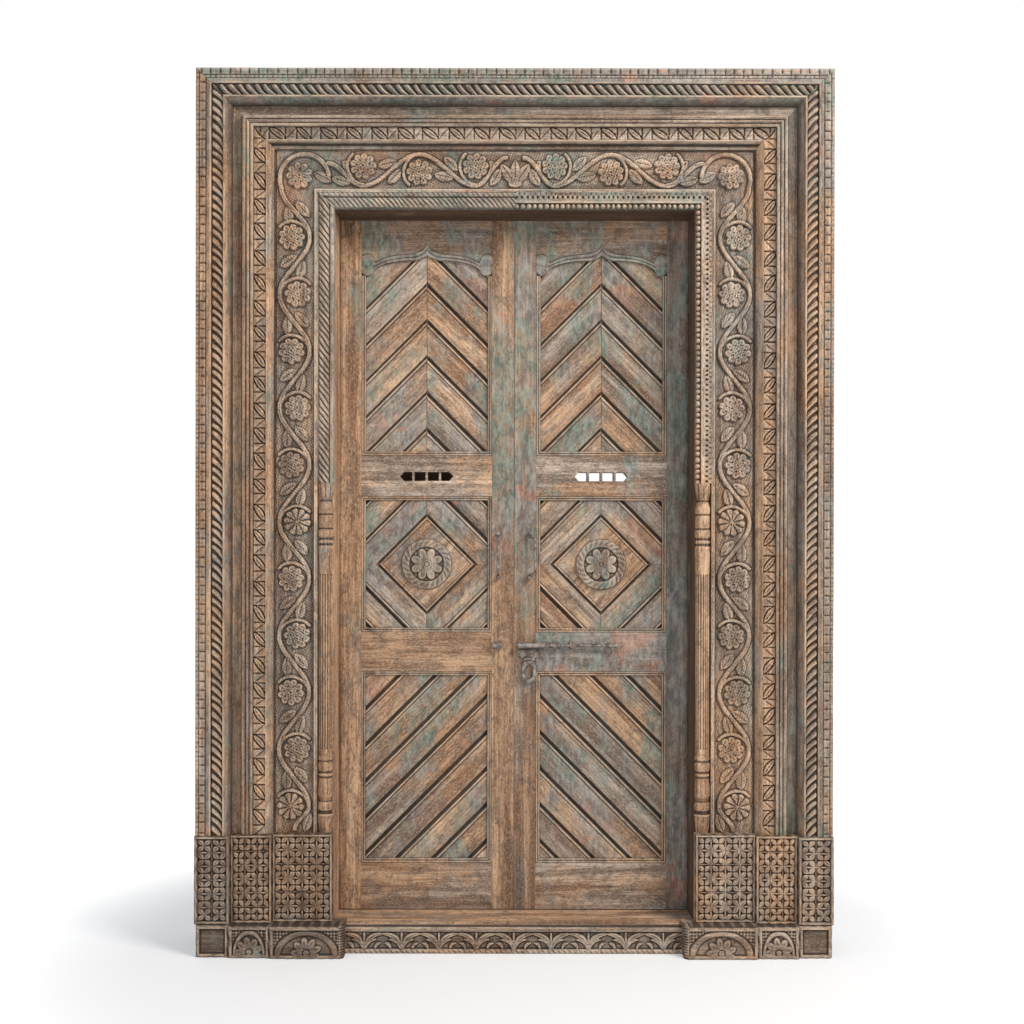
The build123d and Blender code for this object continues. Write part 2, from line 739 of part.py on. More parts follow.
# The leaves. Everything on a leaf is placed by its distance from the meeting line and mirrored.
for side_name, sign in (("left", -1), ("right", 1)):
    # Hinge stile: turned round behind the stop, with a pivot pin left standing at each end.
    with BuildPart() as hinge_stile:
        leaf_box(sign, panel_outer, pivot_x, leaf_foot, leaf_head, -leaf_thickness, 0)
        pivot_y = leaf_face_y + leaf_thickness / 2
        with BuildSketch(Plane((sign * pivot_x, pivot_y, leaf_foot))):
            Circle(leaf_thickness / 2)
        extrude(amount=leaf_head - leaf_foot)
        pin_low = leaf_foot - pivot_length
        pin_high = leaf_head + leaf_head_gap + pivot_length - pivot_end_gap
        with BuildSketch(Plane((sign * pivot_x, pivot_y, pin_low))):
            Circle(pivot_radius)
        extrude(amount=pin_high - pin_low)
    export(hinge_stile.part, f"hinge_stile_{side_name}")

    # Meeting stile: bevelled on its front corner.
    with BuildPart() as meeting_stile:
        with BuildSketch(Plane((0, 0, leaf_foot))):
            Polygon(
                (sign * meeting_gap, leaf_face_y + leaf_thickness),
                (sign * meeting_gap, leaf_face_y + meeting_chamfer),
                (sign * (meeting_gap + meeting_chamfer), leaf_face_y),
                (sign * meeting_stile_width, leaf_face_y),
                (sign * meeting_stile_width, leaf_face_y + leaf_thickness),
            )
        extrude(amount=leaf_head - leaf_foot)
    export(meeting_stile.part, f"meeting_stile_{side_name}")

    # Top rail: its thin lower apron is cut to a cusped ogee and lies on the herringbone boards.
    with BuildPart() as top_rail:
        leaf_box(sign, panel_inner, panel_outer, chevron_head, leaf_head, -leaf_thickness, 0)
        foot_z = chevron_head - ogee_drop
        half = panel_width / 2
        ogee = []
        for out in (0, 0.06, 0.13, 0.21, 0.36, 0.5, 0.62, 0.72, 0.79, 0.82, 0.87, 0.92, 0.97, 1):
            ogee.append((half * out, foot_z + ogee_drop * ogee_height(out)))
        middle = sign * panel_middle
        with BuildSketch(facing(-panel_recess)):
            Polygon(
                *[(middle + x, z) for x, z in ogee],
                (middle + half, chevron_head),
                (middle - half, chevron_head),
                *[(middle - x, z) for x, z in reversed(ogee[1:])],
            )
        extrude(amount=panel_recess)
    export(top_rail.part, f"top_rail_{side_name}")

    # Slot rail: pierced right through with a pointed slot, crossed by upright bars.
    with BuildPart() as slot_rail:
        leaf_box(sign, panel_inner, panel_outer, slot_rail_z, chevron_foot, -leaf_thickness, 0)
        with BuildSketch(facing(-leaf_thickness)):
            with Locations((sign * panel_middle, slot_centre_z)):
                Polygon(
                    (-slot_length / 2, 0),
                    (-slot_length / 2 + slot_point, -slot_height / 2),
                    (slot_length / 2 - slot_point, -slot_height / 2),
                    (slot_length / 2, 0),
                    (slot_length / 2 - slot_point, slot_height / 2),
                    (-slot_length / 2 + slot_point, slot_height / 2),
                )
                bar_step = slot_length / slot_cells
                with GridLocations(bar_step, 0, slot_cells - 1, 1):
                    Rectangle(slot_bar, slot_height + 1, mode=Mode.SUBTRACT)
        extrude(amount=leaf_thickness, mode=Mode.SUBTRACT)
    export(slot_rail.part, f"slot_rail_{side_name}")

    # Slot cover: a thin board nailed over the back of the left slot, so that it shows dark.
    if sign < 0:
        with BuildPart() as slot_cover:
            cover_half = slot_length / 2 + slot_cover_lap
            cover_low = slot_centre_z - slot_height / 2 - slot_cover_lap
            cover_high = slot_centre_z + slot_height / 2 + slot_cover_lap
            leaf_box(
                sign,
                panel_middle - cover_half,
                panel_middle + cover_half,
                cover_low,
                cover_high,
                -leaf_thickness - slot_cover_thickness,
                -leaf_thickness,
            )
        export(slot_cover.part, "slot_cover_left")

    # Lock rail and bottom rail: plain square rails.
    with BuildPart() as lock_rail:
        leaf_box(sign, panel_inner, panel_outer, lock_rail_z, diamond_foot, -leaf_thickness, 0)
    export(lock_rail.part, f"lock_rail_{side_name}")

    with BuildPart() as bottom_rail:
        leaf_box(sign, panel_inner, panel_outer, leaf_foot, slant_foot, -leaf_thickness, 0)
    export(bottom_rail.part, f"bottom_rail_{side_name}")

    # Herringbone boards: slanting down both ways from an upright joint in the middle of the panel.
    with BuildPart() as chevron_boards:
        panel_boards(sign, chevron_foot, chevron_head)
        lines = [((sign * panel_middle, chevron_foot), (sign * panel_middle, chevron_head))]
        half = panel_width / 2
        apex = chevron_head + half - board_step * 0.2
        while apex > chevron_foot:
            for hand in (-1, 1):
                reach = min(half, apex - chevron_foot)
                lead = max(0, apex - chevron_head)
                if reach > lead:
                    lines.append(
                        (
                            (sign * panel_middle + hand * lead, apex - lead),
                            (sign * panel_middle + hand * reach, apex - reach),
                        )
                    )
            apex -= board_step
        board_grooves(lines)
        planted_bead(sign, chevron_foot, chevron_head - ogee_drop, open_head=True)
    export(chevron_boards.part, f"chevron_boards_{side_name}")

    # Boards laid round a diamond, with the seat of the rosette in the middle.
    with BuildPart() as diamond_boards:
        panel_boards(sign, diamond_foot, slot_rail_z)
        half_x = panel_width / 2
        half_z = (slot_rail_z - diamond_foot) / 2
        centre_z = (slot_rail_z + diamond_foot) / 2
        lines = []
        diagonal = board_step * 1.4
        while diagonal < half_x + half_z:
            for hand_x in (-1, 1):
                for hand_z in (-1, 1):
                    x0 = min(half_x, diagonal)
                    z1 = min(half_z, diagonal)
                    lines.append(
                        (
                            (sign * panel_middle + hand_x * x0, centre_z + hand_z * (diagonal - x0)),
                            (sign * panel_middle + hand_x * (diagonal - z1), centre_z + hand_z * z1),
                        )
                    )
            diagonal += board_step
        board_grooves(lines)
        planted_bead(sign, diamond_foot, slot_rail_z)
    export(diamond_boards.part, f"diamond_boards_{side_name}")

    # Slanting boards: rising towards the meeting stile.
    with BuildPart() as slant_boards:
        panel_boards(sign, slant_foot, lock_rail_z)
        lines = []
        level = lock_rail_z - board_step * 0.1
        while level > slant_foot - panel_width:
            start_x = panel_outer
            start_z = level
            if start_z < slant_foot:
                start_x -= slant_foot - start_z
                start_z = slant_foot
            climb = min(start_x - panel_inner, lock_rail_z - start_z)
            lines.append(((sign * start_x, start_z), (sign * (start_x - climb), start_z + climb)))
            level -= board_step
        board_grooves(lines)
        planted_bead(sign, slant_foot, lock_rail_z)
    export(slant_boards.part, f"slant_boards_{side_name}")

    # Rosette: a flower boss inside a raised ring, planted on the diamond boards.
    with BuildPart() as rosette:
        rosette_place = (sign * panel_middle, (slot_rail_z + diamond_foot) / 2)
        plate_front = rosette_plate - panel_recess
        with BuildSketch(facing(-panel_recess)):
            with Locations(rosette_place):
                RegularPolygon(radius=rosette_radius, side_count=rosette_sides)
        extrude(amount=rosette_plate)
        with BuildSketch(facing(plate_front)):
            with Locations(rosette_place):
                RegularPolygon(radius=rosette_radius, side_count=rosette_sides)
                inside = rosette_radius - rosette_ring
                RegularPolygon(radius=inside, side_count=rosette_sides, mode=Mode.SUBTRACT)
        extrude(amount=5.0)
        with BuildSketch(facing(plate_front)):
            with Locations(rosette_place):
                Polygon(*star(rosette_radius * 0.77, rosette_radius * 0.56, 6))
        extrude(amount=4.0)
        with BuildSketch(facing(plate_front + 4.0)):
            with Locations(rosette_place):
                RegularPolygon(radius=rosette_radius * 0.27, side_count=6)
        extrude(amount=4.0)
    export(rosette.part, f"rosette_{side_name}")


def rod_plane(x):
    """Square across the bolt at x, seen from the left."""
    return Plane((x, leaf_face_y - rod_front, rod_z), x_dir=(0, 1, 0), z_dir=(1, 0, 0))


# Slide bolt: a straight rod with a knob at its tail and a spur to pull it by. It is shown drawn,
# with its tip just clear of the left leaf.
with BuildPart() as bolt_rod:
    with BuildSketch(rod_plane(rod_tip_gap)):
        Circle(rod_radius)
    extrude(amount=rod_length)
    tail = rod_tip_gap + rod_length
    with BuildSketch(rod_plane(tail - knob_length)):
        RegularPolygon(radius=knob_radius, side_count=6)
    extrude(amount=knob_length)
    with BuildSketch(facing(rod_front - 3.0)):
        with Locations((tail - knob_length * 0.5, rod_z)):
            Polygon((-6, 0), (6, 0), (3, -spur_length), (-3, -spur_length))
    extrude(amount=6.0)
export(bolt_rod.part, "bolt_rod")

# Guides of the bolt: a rolled tube with a turned neck, and a staple at the rear, both on pads.
with BuildPart() as bolt_guides:
    bore = rod_radius + rod_fit
    barrel_end = guide_start + guide_barrel_length
    with BuildSketch(rod_plane(guide_start)):
        RegularPolygon(radius=guide_barrel_radius, side_count=8)
    extrude(amount=guide_barrel_length)
    with BuildSketch(rod_plane(barrel_end)):
        RegularPolygon(radius=guide_tail_radius, side_count=8)
    extrude(amount=guide_tail_length)
    with BuildSketch(rod_plane(barrel_end + 6)):
        RegularPolygon(radius=guide_barrel_radius, side_count=8)
    extrude(amount=6)
    with BuildSketch(rod_plane(barrel_end + guide_tail_length - 5)):
        RegularPolygon(radius=guide_barrel_radius, side_count=8)
    extrude(amount=5)
    box(guide_start + 4, guide_start + 20, rod_z - 7, rod_z + 7, 0, rod_front)
    box(barrel_end - 20, barrel_end - 4, rod_z - 7, rod_z + 7, 0, rod_front)
    box(
        rear_staple_x,
        rear_staple_x + staple_width,
        rod_z - bore - staple_thickness,
        rod_z + bore + staple_thickness,
        0,
        rod_front + bore + staple_thickness,
    )
    with BuildSketch(rod_plane(guide_start - 1)):
        RegularPolygon(radius=bore, side_count=8, major_radius=False)
    extrude(amount=rear_staple_x + staple_width + 2 - guide_start, mode=Mode.SUBTRACT)
export(bolt_guides.part, "bolt_guides")

# Keeper of the bolt: a staple driven into the left leaf.
with BuildPart() as bolt_keeper:
    box(
        -keeper_x - keeper_width,
        -keeper_x,
        rod_z - bore - staple_thickness,
        rod_z + bore + staple_thickness,
        0,
        rod_front + bore + staple_thickness,
    )
    with BuildSketch(rod_plane(-keeper_x - keeper_width - 1)):
        RegularPolygon(radius=bore, side_count=8, major_radius=False)
    extrude(amount=keeper_width + 2, mode=Mode.SUBTRACT)
export(bolt_keeper.part, "bolt_keeper")

# Hasp plate: nailed to the right stile, with two knuckles at its foot that carry a pin.
hasp_low = hasp_top_z - hasp_height
hasp_pin_z = hasp_low - 3.0
hasp_pin_front = hasp_thickness + hasp_knuckle + 0.5


def hasp_plane(x):
    """Square across the hasp's pin at x, seen from the left."""
    return Plane((x, leaf_face_y - hasp_pin_front, hasp_pin_z), x_dir=(0, 1, 0), z_dir=(1, 0, 0))


with BuildPart() as hasp_plate:
    box(hasp_x - hasp_width / 2, hasp_x + hasp_width / 2, hasp_low, hasp_top_z, 0, hasp_thickness)
    knuckle_front = hasp_pin_front + hasp_knuckle
    for hand in (-1, 1):
        near = hasp_x + hand * (hasp_eye / 2 + hasp_knuckle_gap)
        far = near + hand * hasp_knuckle_width
        box(near, far, hasp_pin_z - hasp_knuckle, hasp_pin_z + hasp_knuckle, 0, knuckle_front)
    with BuildSketch(hasp_plane(hasp_x - hasp_pin_length / 2)):
        Circle(hasp_pin_radius)
    extrude(amount=hasp_pin_length)
export(hasp_plate.part, "hasp_plate")

# Hasp drop: a teardrop link with a slot, which hangs on the pin by its eye.
with BuildPart() as hasp_drop:
    link_back = hasp_pin_front - drop_thickness / 2
    neck = hasp_knuckle + 3
    with BuildSketch(facing(link_back)):
        with Locations((hasp_x, hasp_pin_z)):
            Polygon(
                (-hasp_eye / 2, 0),
                (-hasp_eye / 2, -neck),
                (-drop_width / 2, -drop_height / 3),
                (-drop_width / 2, -drop_height * 0.7),
                (-drop_width * 0.18, -drop_height),
                (drop_width * 0.18, -drop_height),
                (drop_width / 2, -drop_height * 0.7),
                (drop_width / 2, -drop_height / 3),
                (hasp_eye / 2, -neck),
                (hasp_eye / 2, 0),
            )
        with Locations((hasp_x, hasp_pin_z - drop_height * 0.54)):
            turns = [math.pi * (step + 0.5) / 4 for step in range(8)]
            across, up = drop_width * 0.27, drop_height * 0.28
            Polygon(*[(across * math.cos(turn), up * math.sin(turn)) for turn in turns], mode=Mode.SUBTRACT)
    extrude(amount=drop_thickness)
    with BuildSketch(hasp_plane(hasp_x - hasp_eye / 2)):
        RegularPolygon(radius=hasp_knuckle, side_count=8)
    extrude(amount=hasp_eye)
    with BuildSketch(hasp_plane(hasp_x - hasp_pin_length / 2)):
        Circle(hasp_pin_radius + hasp_pin_fit)
    extrude(amount=hasp_pin_length, mode=Mode.SUBTRACT)
export(hasp_drop.part, "hasp_drop")

# Bail pulls: a bar bent back at both ends, with pins that turn in two eyes. The right one hangs
# swung over towards its hinges.
for side_name, sign, turn in (("left", -1, 0.0), ("right", 1, right_pull_turn)):
    axis_x = sign * pull_x
    with BuildPart() as pull:
        turned = math.radians(turn)
        grip_x = axis_x + pull_reach * math.sin(turned)
        grip_front = pull_axis_front + pull_reach * math.cos(turned)
        low = pull_z - pull_height / 2
        high = pull_z + pull_height / 2
        with BuildSketch(Plane((grip_x, leaf_face_y - grip_front, low))):
            RegularPolygon(radius=pull_radius, side_count=6)
        extrude(amount=pull_height)
        arm = Vector(grip_x - axis_x, pull_axis_front - grip_front, 0)
        for height in (low, high - pull_radius * 2):
            with BuildSketch(Plane((axis_x, leaf_face_y - pull_axis_front, height))):
                with Locations(Location((0, 0, 0), math.degrees(math.atan2(arm.Y, arm.X)))):
                    with Locations((pull_reach / 2, 0)):
                        Rectangle(pull_reach, pull_radius * 1.6)
            extrude(amount=pull_radius * 2)
        pin_length = pull_eye_height + 2.0
        for height in (low - pin_length, high):
            with BuildSketch(Plane((axis_x, leaf_face_y - pull_axis_front, height))):
                RegularPolygon(radius=pull_pin_radius, side_count=12)
            extrude(amount=pin_length)
    export(pull.part, f"pull_{side_name}")

    # The two eyes of a pull, driven into the meeting stile above and below it.
    with BuildPart() as pull_eyes:
        for height in (low - 0.3 - pull_eye_height, high + 0.3):
            with BuildSketch(Plane((axis_x, leaf_face_y - pull_axis_front, height))):
                RegularPolygon(radius=pull_eye_radius, side_count=8)
                with Locations((0, pull_axis_front / 2)):
                    Rectangle(7, pull_axis_front)
                bore = pull_pin_radius + pull_pin_fit
                RegularPolygon(radius=bore, side_count=8, major_radius=False, mode=Mode.SUBTRACT)
            extrude(amount=pull_eye_height)
    export(pull_eyes.part, f"pull_eyes_{side_name}")
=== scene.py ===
import math

import bmesh
import bpy
import numpy as np
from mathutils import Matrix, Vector, kdtree


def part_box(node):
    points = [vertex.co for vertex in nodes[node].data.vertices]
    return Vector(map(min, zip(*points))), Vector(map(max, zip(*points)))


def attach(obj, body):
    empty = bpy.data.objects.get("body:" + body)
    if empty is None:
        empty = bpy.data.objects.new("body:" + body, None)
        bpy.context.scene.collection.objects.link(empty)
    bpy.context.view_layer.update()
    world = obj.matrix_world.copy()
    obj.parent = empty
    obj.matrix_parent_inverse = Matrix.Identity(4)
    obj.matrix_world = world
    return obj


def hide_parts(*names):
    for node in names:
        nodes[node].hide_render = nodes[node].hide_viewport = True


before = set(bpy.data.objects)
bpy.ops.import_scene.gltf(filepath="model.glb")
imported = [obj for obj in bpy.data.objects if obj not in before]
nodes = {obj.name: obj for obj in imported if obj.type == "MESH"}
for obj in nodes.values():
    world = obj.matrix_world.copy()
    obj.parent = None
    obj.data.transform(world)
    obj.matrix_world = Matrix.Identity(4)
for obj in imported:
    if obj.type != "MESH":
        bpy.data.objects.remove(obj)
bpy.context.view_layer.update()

# Posts, lintel and threshold: square teak timbers that carry everything, pegged at the corners. They
# are the bare wood of the reveal and the sill, so the timber finish that all the wood shares is made
# here.
mm = 0.001
metre = 1000.0


def span(node):
    """Lowest and highest corner of a node of the frame, in millimetres."""
    low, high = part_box(node)
    return low * metre, high * metre


face_y = span("lock_rail_left")[0].y
door_half = -span("jamb_left")[1].x
head_z = span("rope_head")[0].z


def colour(red, green, blue):
    """A colour written as it looks on a screen, 0 to 255, as the linear value that shaders take."""
    linear = []
    for level in (red / 255, green / 255, blue / 255):
        linear.append(((level + 0.055) / 1.055) ** 2.4 if level > 0.04 else level / 12.92)
    return linear + [1]


def put(tree, kind, inputs=None, **settings):
    """Add a shader node; an input that is given a socket is wired to it."""
    made = tree.nodes.new("ShaderNode" + kind)
    for key, value in settings.items():
        setattr(made, key, value)
    for key, value in (inputs or {}).items():
        if isinstance(value, bpy.types.NodeSocket):
            tree.links.new(value, made.inputs[key])
        else:
            made.inputs[key].default_value = value
    return made


def blend_colours(tree, share, under, over):
    return put(tree, "Mix", {0: share, 6: under, 7: over}, data_type="RGBA").outputs[2]


def reckon(tree, operation, *values, clamp=False):
    made = put(tree, "Math", dict(enumerate(values)), operation=operation, use_clamp=clamp)
    return made.outputs[0]


def ramp(tree, value, low, high, bottom=0.0, top=1.0):
    """Smooth step of a value between two levels."""
    inputs = {0: value, 1: low, 2: high, 3: bottom, 4: top}
    return put(tree, "MapRange", inputs, interpolation_type="SMOOTHSTEP").outputs[0]


def noise(tree, place, scale, detail=4.0, roughness=0.55, distortion=0.0):
    inputs = {"Vector": place, "Scale": scale, "Detail": detail, "Roughness": roughness}
    return put(tree, "TexNoise", inputs | {"Distortion": distortion}).outputs["Fac"]


def stretch(tree, place, across, along):
    """Squeeze a place so that whatever is drawn on it runs long along Z."""
    return put(tree, "Mapping", {"Vector": place, "Scale": (across, across, along)}).outputs[0]


def connect(tree, inputs, sockets):
    for label, socket in sockets.items():
        tree.links.new(socket, inputs[label])


def effect(name, takes, gives):
    """A new shader group. What it takes is named with its kind or, for a number, its usual value."""
    group = bpy.data.node_groups.new(name, "ShaderNodeTree")
    for label, value in takes.items():
        kind = value if isinstance(value, str) else "Float"
        socket = group.interface.new_socket(label, in_out="INPUT", socket_type="NodeSocket" + kind)
        if kind == "Float":
            socket.default_value = value
    for label in gives:
        kind = "Color" if label == "Color" else "Float"
        group.interface.new_socket(label, in_out="OUTPUT", socket_type="NodeSocket" + kind)
    return group, group.nodes.new("NodeGroupInput").outputs, group.nodes.new("NodeGroupOutput").inputs


def make_teak_grain():
    """Old teak: long streaks, open pores and dark stains, silvered in patches, flaked and speckled."""
    takes = {"Along": "Vector", "Silvering": 0.5, "Darkness": 0.0}
    tree, given, result = effect("teak_grain", takes, ("Color", "Roughness", "Height"))
    place = given["Along"]
    streak = noise(tree, stretch(tree, place, 26, 1.6), 1.0, 5, 0.6, 0.5)
    fibre = noise(tree, stretch(tree, place, 170, 5), 1.0, 3, 0.6)
    pores = noise(tree, stretch(tree, place, 420, 22), 1.0, 2, 0.5)
    patch = noise(tree, stretch(tree, place, 5.5, 2.2), 1.0, 6, 0.62, 0.6)
    stain = noise(tree, stretch(tree, place, 11, 6), 1.0, 5, 0.7, 1.2)
    flaked = noise(tree, stretch(tree, place, 30, 17), 1.0, 9, 0.74, 0.7)
    speckle = noise(tree, stretch(tree, place, 330, 120), 1.0, 4, 0.75)
    warm = blend_colours(tree, ramp(tree, streak, 0.34, 0.66), colour(158, 117, 86), colour(228, 187, 148))
    grey = blend_colours(tree, ramp(tree, streak, 0.36, 0.64), colour(128, 111, 98), colour(202, 184, 166))
    level = reckon(tree, "ADD", patch, reckon(tree, "MULTIPLY_ADD", given["Silvering"], 0.5, -0.25))
    shade = blend_colours(tree, ramp(tree, level, 0.42, 0.58), warm, grey)
    marks = (
        (fibre, 0.62, 0.38, 0.42, (92, 62, 42)),
        (pores, 0.40, 0.30, 0.55, (52, 34, 24)),
        (stain, 0.57, 0.72, 0.6, (84, 62, 50)),
        (flaked, 0.50, 0.555, 0.5, (98, 82, 70)),
        (speckle, 0.47, 0.37, 0.55, (60, 45, 36)),
        (speckle, 0.53, 0.64, 0.4, (236, 208, 178)),
    )
    for mark, start, end, most, tint in marks:
        shade = blend_colours(tree, ramp(tree, mark, start, end, 0.0, most), shade, colour(*tint))
    # Darkness darkens the whole piece; on the right reveal, the lintel and the meeting slip it is painted
    # shade.
    shade = blend_colours(tree, given["Darkness"], shade, colour(58, 42, 32))
    rough = ramp(tree, streak, 0.3, 0.7, 0.82, 0.64)
    height = reckon(tree, "MULTIPLY_ADD", fibre, 0.6, reckon(tree, "MULTIPLY", streak, 0.5))
    height = reckon(tree, "MULTIPLY_ADD", ramp(tree, pores, 0.42, 0.3), -0.35, height)
    connect(tree, result, {"Color": shade, "Roughness": rough, "Height": height})
    return tree


def make_old_paint():
    """What is left of coat upon coat of paint: teal, slate blue and faded pink in worn patches."""
    takes = {"Place": "Vector", "Color": "Color", "Relief": 0.0, "Amount": 0.5, "Around": 1.2, "Reach": 5.0}
    tree, given, result = effect("old_paint", takes, ("Color", "Cover"))
    place = given["Place"]
    upright = stretch(tree, place, 1, 0.45)
    patches = noise(tree, upright, 8.0, 7, 0.6, 0.5)
    flecks = noise(tree, upright, 70.0, 3, 0.6)
    elsewhere = put(tree, "Mapping", {"Vector": place, "Location": (3, 1, 7)}).outputs[0]
    which = noise(tree, elsewhere, 5.0, 4, 0.6)
    height = put(tree, "SeparateXYZ", {0: place}).outputs[2]
    away = reckon(tree, "DIVIDE", reckon(tree, "SUBTRACT", height, given["Around"]), given["Reach"])
    near = reckon(tree, "MULTIPLY", away, away)
    amount = reckon(tree, "MULTIPLY_ADD", near, -0.5, given["Amount"])
    level = reckon(tree, "MULTIPLY_ADD", amount, 0.34, patches)
    level = reckon(tree, "MULTIPLY_ADD", given["Relief"], -0.10, level)
    level = reckon(tree, "MULTIPLY_ADD", flecks, 0.10, level)
    cover = ramp(tree, level, 0.66, 0.82)
    teal = blend_colours(tree, ramp(tree, flecks, 0.35, 0.65), colour(80, 102, 94), colour(138, 154, 142))
    slate = blend_colours(tree, ramp(tree, flecks, 0.35, 0.65), colour(98, 100, 100), colour(160, 158, 150))
    pink = blend_colours(tree, ramp(tree, flecks, 0.35, 0.65), colour(140, 98, 84), colour(192, 152, 132))
    tint = blend_colours(tree, ramp(tree, which, 0.46, 0.52), teal, slate)
    tint = blend_colours(tree, ramp(tree, which, 0.58, 0.62), tint, pink)
    scratches = noise(tree, stretch(tree, place, 1, 0.2), 150.0, 3, 0.7)
    cover = reckon(tree, "MULTIPLY", cover, ramp(tree, scratches, 0.40, 0.56, 0.22, 0.78))
    shade = blend_colours(tree, cover, given["Color"], tint)
    connect(tree, result, {"Color": shade, "Cover": cover})
    return tree


def make_dirt_wear_shade_and_highlight():
    """Painted shade with dirt and old varnish in the hollows; painted highlight with bare worn wood on the
    ridges.
    """
    takes = {"Place": "Vector", "Color": "Color", "Relief": 0.0, "Depth": 0.0, "GrimeAndShade": 1.0}
    tree, given, result = effect("dirt_wear_shade_and_highlight", takes, ("Color",))
    uneven = noise(tree, given["Place"], 24.0, 4, 0.6)
    # Hollows and the deep ground are darkened: partly dirt, partly painted shade.
    hollow = ramp(tree, reckon(tree, "MULTIPLY", given["Relief"], -1.0), 0.02, 0.55)
    deep_dirt_and_shade = ramp(tree, given["Depth"], 0.35, 1.0, 0.0, 0.45)
    deep_dirt_and_shade = reckon(tree, "MULTIPLY", deep_dirt_and_shade, ramp(tree, uneven, 0.3, 0.6, 0.5, 1.0))
    dirt_and_shade = reckon(tree, "ADD", hollow, deep_dirt_and_shade, clamp=True)
    dirt_and_shade = reckon(tree, "MULTIPLY", dirt_and_shade, given["GrimeAndShade"], clamp=True)
    shade = blend_colours(tree, reckon(tree, "MULTIPLY", dirt_and_shade, 0.86), given["Color"], colour(46, 33, 25))
    # Ridges are lightened: partly bare wood rubbed pale, partly painted highlight.
    ridge = ramp(tree, given["Relief"], 0.15, 0.8, 0.0, 0.6)
    ridge = reckon(tree, "MULTIPLY", ridge, ramp(tree, uneven, 0.38, 0.60, 0.25, 1.0))
    shade = blend_colours(tree, ridge, shade, colour(214, 186, 158))
    connect(tree, result, {"Color": shade})
    return tree


teak_grain = make_teak_grain()
old_paint = make_old_paint()
dirt_wear_shade_and_highlight = make_dirt_wear_shade_and_highlight()
grain_turns = {
    "up": (0, 0, 0),
    "level": (0, math.radians(90), 0),
    "rising": (0, math.radians(-45), 0),
    "falling": (0, math.radians(45), 0),
}


def new_finish(name):
    material = bpy.data.materials.new(name)
    material.use_nodes = True
    tree = material.node_tree
    return material, tree, tree.nodes["Principled BSDF"]


def teak(name, grain="up", silvering=0.4, paint=0.3, around=1.2, reach=5.0,
         darkness=0.0, grime=1.0, shift=0.0):
    """A teak finish of its own for one piece: its grain, its silvering and what paint it kept."""
    material, tree, shader = new_finish(name)
    place = put(tree, "TexCoord").outputs["Object"]
    along = put(tree, "Mapping", {0: place, 1: (shift, shift * 1.7, shift * 2.3), 2: grain_turns[grain]})
    moved = put(tree, "Mapping", {0: place, 1: (shift, shift, 0)})
    relief = put(tree, "Attribute", attribute_name="relief").outputs["Fac"]
    depth = put(tree, "Attribute", attribute_name="depth").outputs["Fac"]
    grown = {"Along": along.outputs[0], "Silvering": silvering, "Darkness": darkness}
    wood = put(tree, "Group", grown, node_tree=teak_grain).outputs
    painted = {"Place": moved.outputs[0], "Color": wood["Color"], "Relief": relief}
    painted |= {"Amount": paint, "Around": around, "Reach": reach}
    coat = put(tree, "Group", painted, node_tree=old_paint).outputs
    # The relief group darkens hollows and lightens ridges: dirt and wear, and with them painted shade and
    # painted highlight.
    rubbed = {"Place": place, "Color": coat["Color"], "Relief": relief, "Depth": depth, "GrimeAndShade": grime}
    worn = put(tree, "Group", rubbed, node_tree=dirt_wear_shade_and_highlight).outputs
    bump = put(tree, "Bump", {"Strength": 0.55, "Distance": 0.0016, "Height": wood["Height"]})
    finish = {"Base Color": worn["Color"], "Roughness": wood["Roughness"], "Normal": bump.outputs[0]}
    connect(tree, shader.inputs, finish)
    shader.inputs["Specular IOR Level"].default_value = 0.28
    return material


def dress(piece, material):
    piece.data.materials.clear()
    piece.data.materials.append(material)


dress(nodes["jamb_left"], teak("jamb_left_teak", silvering=0.15, paint=0.1, shift=1.3))
# The right post and the lintel are darkened: painted shade, as the right reveal faces away from the key lamp
# and the lintel's underside looks down.
dress(nodes["jamb_right"], teak("jamb_right_teak", silvering=0.3, paint=0.1, darkness=0.86, shift=2.6))
dress(nodes["lintel"], teak("lintel_teak", "level", silvering=0.2, paint=0.1, darkness=0.86, shift=3.1))
dress(nodes["threshold"], teak("threshold_teak", "level", silvering=0.45, paint=0.1, shift=4.4))

# Rope moulding: a carved bar planted on the posts next to the doorway. The left side and half of the
# head are cut as a slanting rope; the right half has a row of pearls beside a strip of drilled dots.
# The bars of the surround are all cut in the same way, so the cutting is worked out here.
blur_reach = 2
relief_depth = 2.6


def blurred(height):
    """Each height averaged with its neighbours on the grid."""
    wide = np.pad(height, blur_reach, mode="edge")
    rows, columns = height.shape
    total = np.zeros_like(height)
    steps = range(2 * blur_reach + 1)
    for row in steps:
        for column in steps:
            total += wide[row : row + rows, column : column + columns]
    return total / len(steps) ** 2


def solid(name, points, faces, relief=None, depth=None, crease=38, body="frame", slot="frame_wood"):
    """A closed mesh with outward normals, smooth but for its creases, that rides on a body."""
    mesh = bpy.data.meshes.new(name)
    mesh.from_pydata([tuple(point) for point in np.asarray(points) * mm], [], faces)
    for label, values in (("relief", relief), ("depth", depth)):
        if values is not None:
            layer = mesh.attributes.new(label, "FLOAT", "POINT")
            padded = np.zeros(len(points), np.float32)
            padded[: len(values)] = values
            layer.data.foreach_set("value", padded)
    shape = bmesh.new()
    shape.from_mesh(mesh)
    bmesh.ops.recalc_face_normals(shape, faces=shape.faces)
    shape.to_mesh(mesh)
    shape.free()
    mesh.shade_smooth()
    mesh.set_sharp_from_angle(angle=math.radians(crease))
    piece = bpy.data.objects.new(name, mesh)
    bpy.context.scene.collection.objects.link(piece)
    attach(piece, body)
    return piece


def sheet_faces(rows, columns):
    """Squares between a grid's points, which lie row after row."""
    lower = (np.arange(rows - 1)[:, None] * columns + np.arange(columns - 1)[None, :]).ravel()
    return np.stack([lower, lower + columns, lower + columns + 1, lower + 1], axis=1).tolist()


